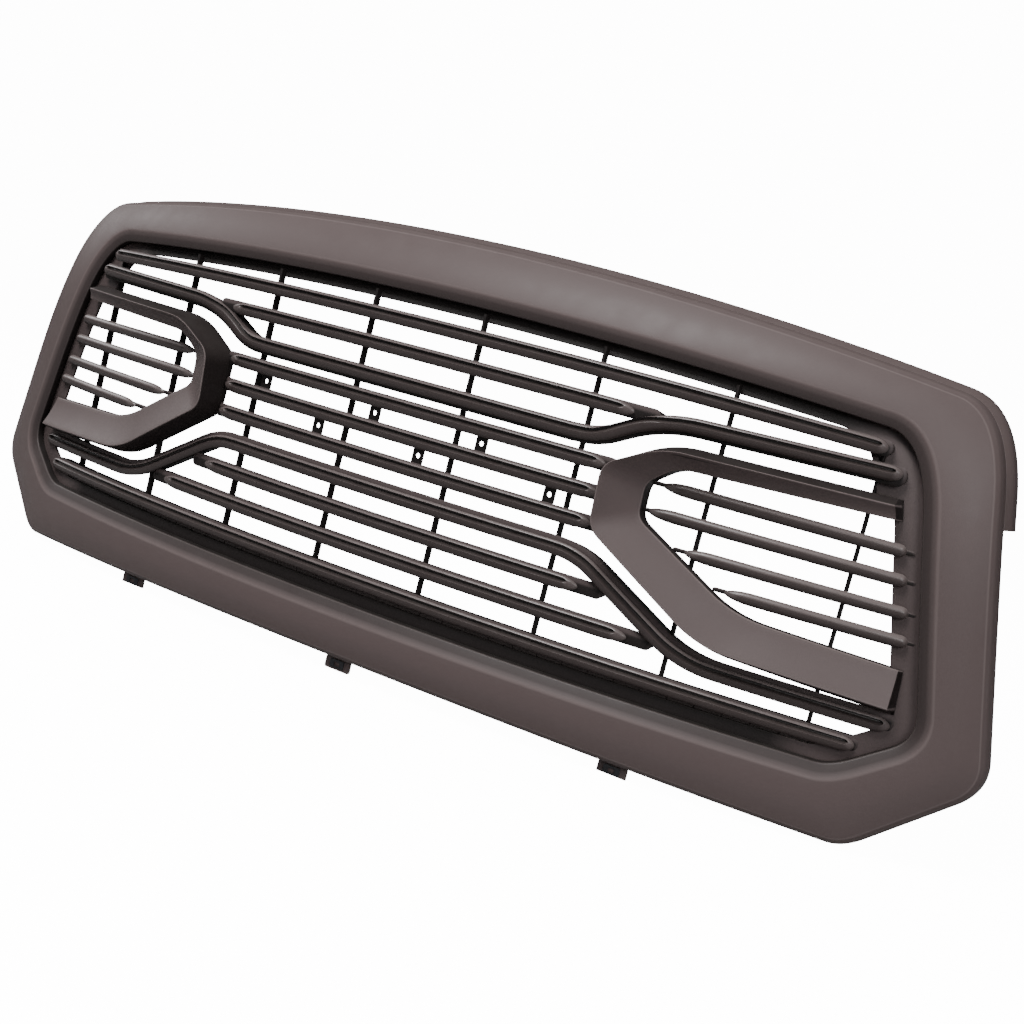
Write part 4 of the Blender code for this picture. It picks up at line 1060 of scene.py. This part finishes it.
for nodes in (screw_nodes, bar_screw_nodes):
    blank = hollowed(turned("screw", screw_profile), cross(0.0019, 0.00055), 0.003,
                     Matrix.Translation((0.0, 0.0, -HEAD_HEIGHT)))
    places = []
    for node in nodes:
        low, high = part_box(node)
        seat = Vector(((low.x + high.x) / 2, high.y - HEAD_HEIGHT, (low.z + high.z) / 2))
        places.append((seat, DRIVEN, (1, 1, 1)))
    screws = copies_of(blank, "insert_screws" if nodes is screw_nodes else "bar_screws", places, zinc_plate)
    adopt(settle(screws, sharp=math.radians(45)), zinc_plate, "zinc_steel", *nodes)

# Seen from above, a retainer is a shallow dished head with the end of its centre pin in the middle.
STEM, HEAD_RADIUS = 0.0038, 0.009
retainer_profile = (
    (0.0, 0.0013), (0.0034, 0.0013), (0.0036, 0.0010), (0.0038, 0.0007), (0.0042, 0.0007), (0.0046, 0.0017),
    (0.0064, 0.0020), (0.0080, 0.0015), (0.0089, 0.0006), (HEAD_RADIUS, 0.0003), (0.0088, 0.0), (STEM, 0.0),
    (STEM, -0.0042), (0.0041, -0.0052), (STEM, -0.0078), (0.0034, -0.0110), (0.0026, -0.0160),
    (0.0019, -0.0188), (0.0008, -0.0194), (0.0, -0.0194),
)
blank = hollowed(turned("retainer", retainer_profile), cross(0.006, 0.0004), 0.0170,
                 Matrix.Translation((0.0, 0.0, -0.0125)))
retainer_nodes = [f"top_retainer_{number}" for number in range(1, 5)]
places = []
for node in retainer_nodes:
    low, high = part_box(node)
    places.append((Vector(((low.x + high.x) / 2, (low.y + high.y) / 2, high.z - 0.0020)), (0, 0, 0), (1, 1, 1)))
retainers = copies_of(blank, "top_retainers", places, natural_nylon)
adopt(settle(retainers, sharp=math.radians(45)), natural_nylon, "nylon", *retainer_nodes)

CLIP_WALL, CLIP_WIDTH = 0.0009, 0.0165
clip_nodes = [f"lower_clip_{word}" for word in ("left", "centre", "right")]
low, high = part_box(clip_nodes[0])
wide, tall = (high.y - low.y) / 2, (high.z - low.z) / 2
side_line, floor_line = wide - CLIP_WALL / 2, -tall + CLIP_WALL / 2
middle_line = spread(rounded([(-side_line, tall, 0), (-side_line, floor_line, 0), (side_line, floor_line, 0),
                              (side_line, tall, 0)], (0.0014, 0.0014), 6), 0.0012)
inside, outside = [], []
for index, point in enumerate(middle_line):
    across = square_to(middle_line, index) * CLIP_WALL / 2
    inside.append(point.xy + across)
    outside.append(point.xy - across)
section = Matrix.Rotation(math.pi / 2, 4, "Z") @ Matrix.Rotation(math.pi / 2, 4, "X")
blank = settle(plate("clip", [inside + outside[::-1]], CLIP_WIDTH, 0.0002, section))
blank = hollowed(blank, soft_box(0.0065, 0.0045, 0.001), 0.02, FACING_BACK)
places = []
for node in clip_nodes:
    low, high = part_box(node)
    places.append(((low + high) / 2, (0, 0, 0), (1, 1, 1)))
clips = copies_of(blank, "lower_clips", places, phosphate_spring)
adopt(settle(clips, sharp=math.radians(45)), phosphate_spring, "spring_steel", *clip_nodes)


# ---- The room ----
# The grille stands on its lower clips on a pale floor that curves up into a pale wall. A large soft
# light hangs high in front, and weaker ones fill from the left and the right.

FLOOR_HALF, FLOOR_WIDTH, WALL_HEIGHT, SWEEP = 14.0, 120.0, 30.0, 5.0
floor_z = cad_box[0][2]
profile = [(-FLOOR_HALF, floor_z)]
profile += [(FLOOR_HALF - SWEEP + SWEEP * math.sin(a), floor_z + SWEEP * (1 - math.cos(a)))
            for a in np.linspace(0.0, math.pi / 2, 24)]
profile.append((FLOOR_HALF, floor_z + WALL_HEIGHT))
backdrop_rows = [[(x, y, z) for y, z in profile] for x in (-FLOOR_WIDTH / 2, FLOOR_WIDTH / 2)]
backdrop = skin("backdrop", backdrop_rows, wrap_points=False)
backdrop.data.shade_smooth()
pale = bpy.data.materials.new("pale_paper")
pale.use_nodes = True
paper = pale.node_tree.nodes["Principled BSDF"]
paper.inputs["Roughness"].default_value = 0.9
paper.inputs["Emission Color"].default_value = (1.0, 0.995, 0.99, 1.0)
seen = place_node(pale.node_tree, "ShaderNodeLightPath").outputs["Is Camera Ray"]
paper_tone = calculate(pale.node_tree, "MULTIPLY_ADD", seen, 0.60, 0.28)
pale.node_tree.links.new(paper_tone, paper.inputs["Base Color"])
pale.node_tree.links.new(calculate(pale.node_tree, "MULTIPLY", seen, 14.0), paper.inputs["Emission Strength"])
backdrop.data.materials.append(pale)

LIGHTS = (
    ("key", (-0.5, -2.3, 3.3), 1.6, 205.0),
    ("left", (-3.4, -0.2, 1.6), 1.4, 34.0),
    ("right_fill", (2.8, -2.6, 1.6), 1.8, 75.0),
)
for name, place, size, power in LIGHTS:
    lamp = bpy.data.lights.new(name, "AREA")
    lamp.size = size
    lamp.energy = power
    lamp_object = put(name, lamp)
    lamp_object.location = place
    lamp_object.rotation_euler = (-Vector(place)).to_track_quat("-Z", "Y").to_euler()

world = bpy.data.worlds.new("soft_room")
bpy.context.scene.world = world
world.use_nodes = True
world.node_tree.nodes["Background"].inputs["Color"].default_value = (0.95, 0.96, 1.0, 1.0)
world.node_tree.nodes["Background"].inputs["Strength"].default_value = 0.16

# The camera stands to the right and a little above, rolled so that the grille slopes down to the right.
camera = put("camera", bpy.data.cameras.new("camera"))
camera.data.sensor_width = 36.0
camera.data.lens = 46.25
right, down = Vector((0.8598, 0.4473, 0.2463)), Vector((0.269, 0.013, -0.963))
forward = Vector((-0.434, 0.8943, -0.1088))
facing = Matrix((right, -down, -forward)).transposed().to_4x4()
camera.matrix_world = Matrix.Translation(home + Vector((0.6831, -1.1045, 0.1149))) @ facing
bpy.context.scene.camera = camera
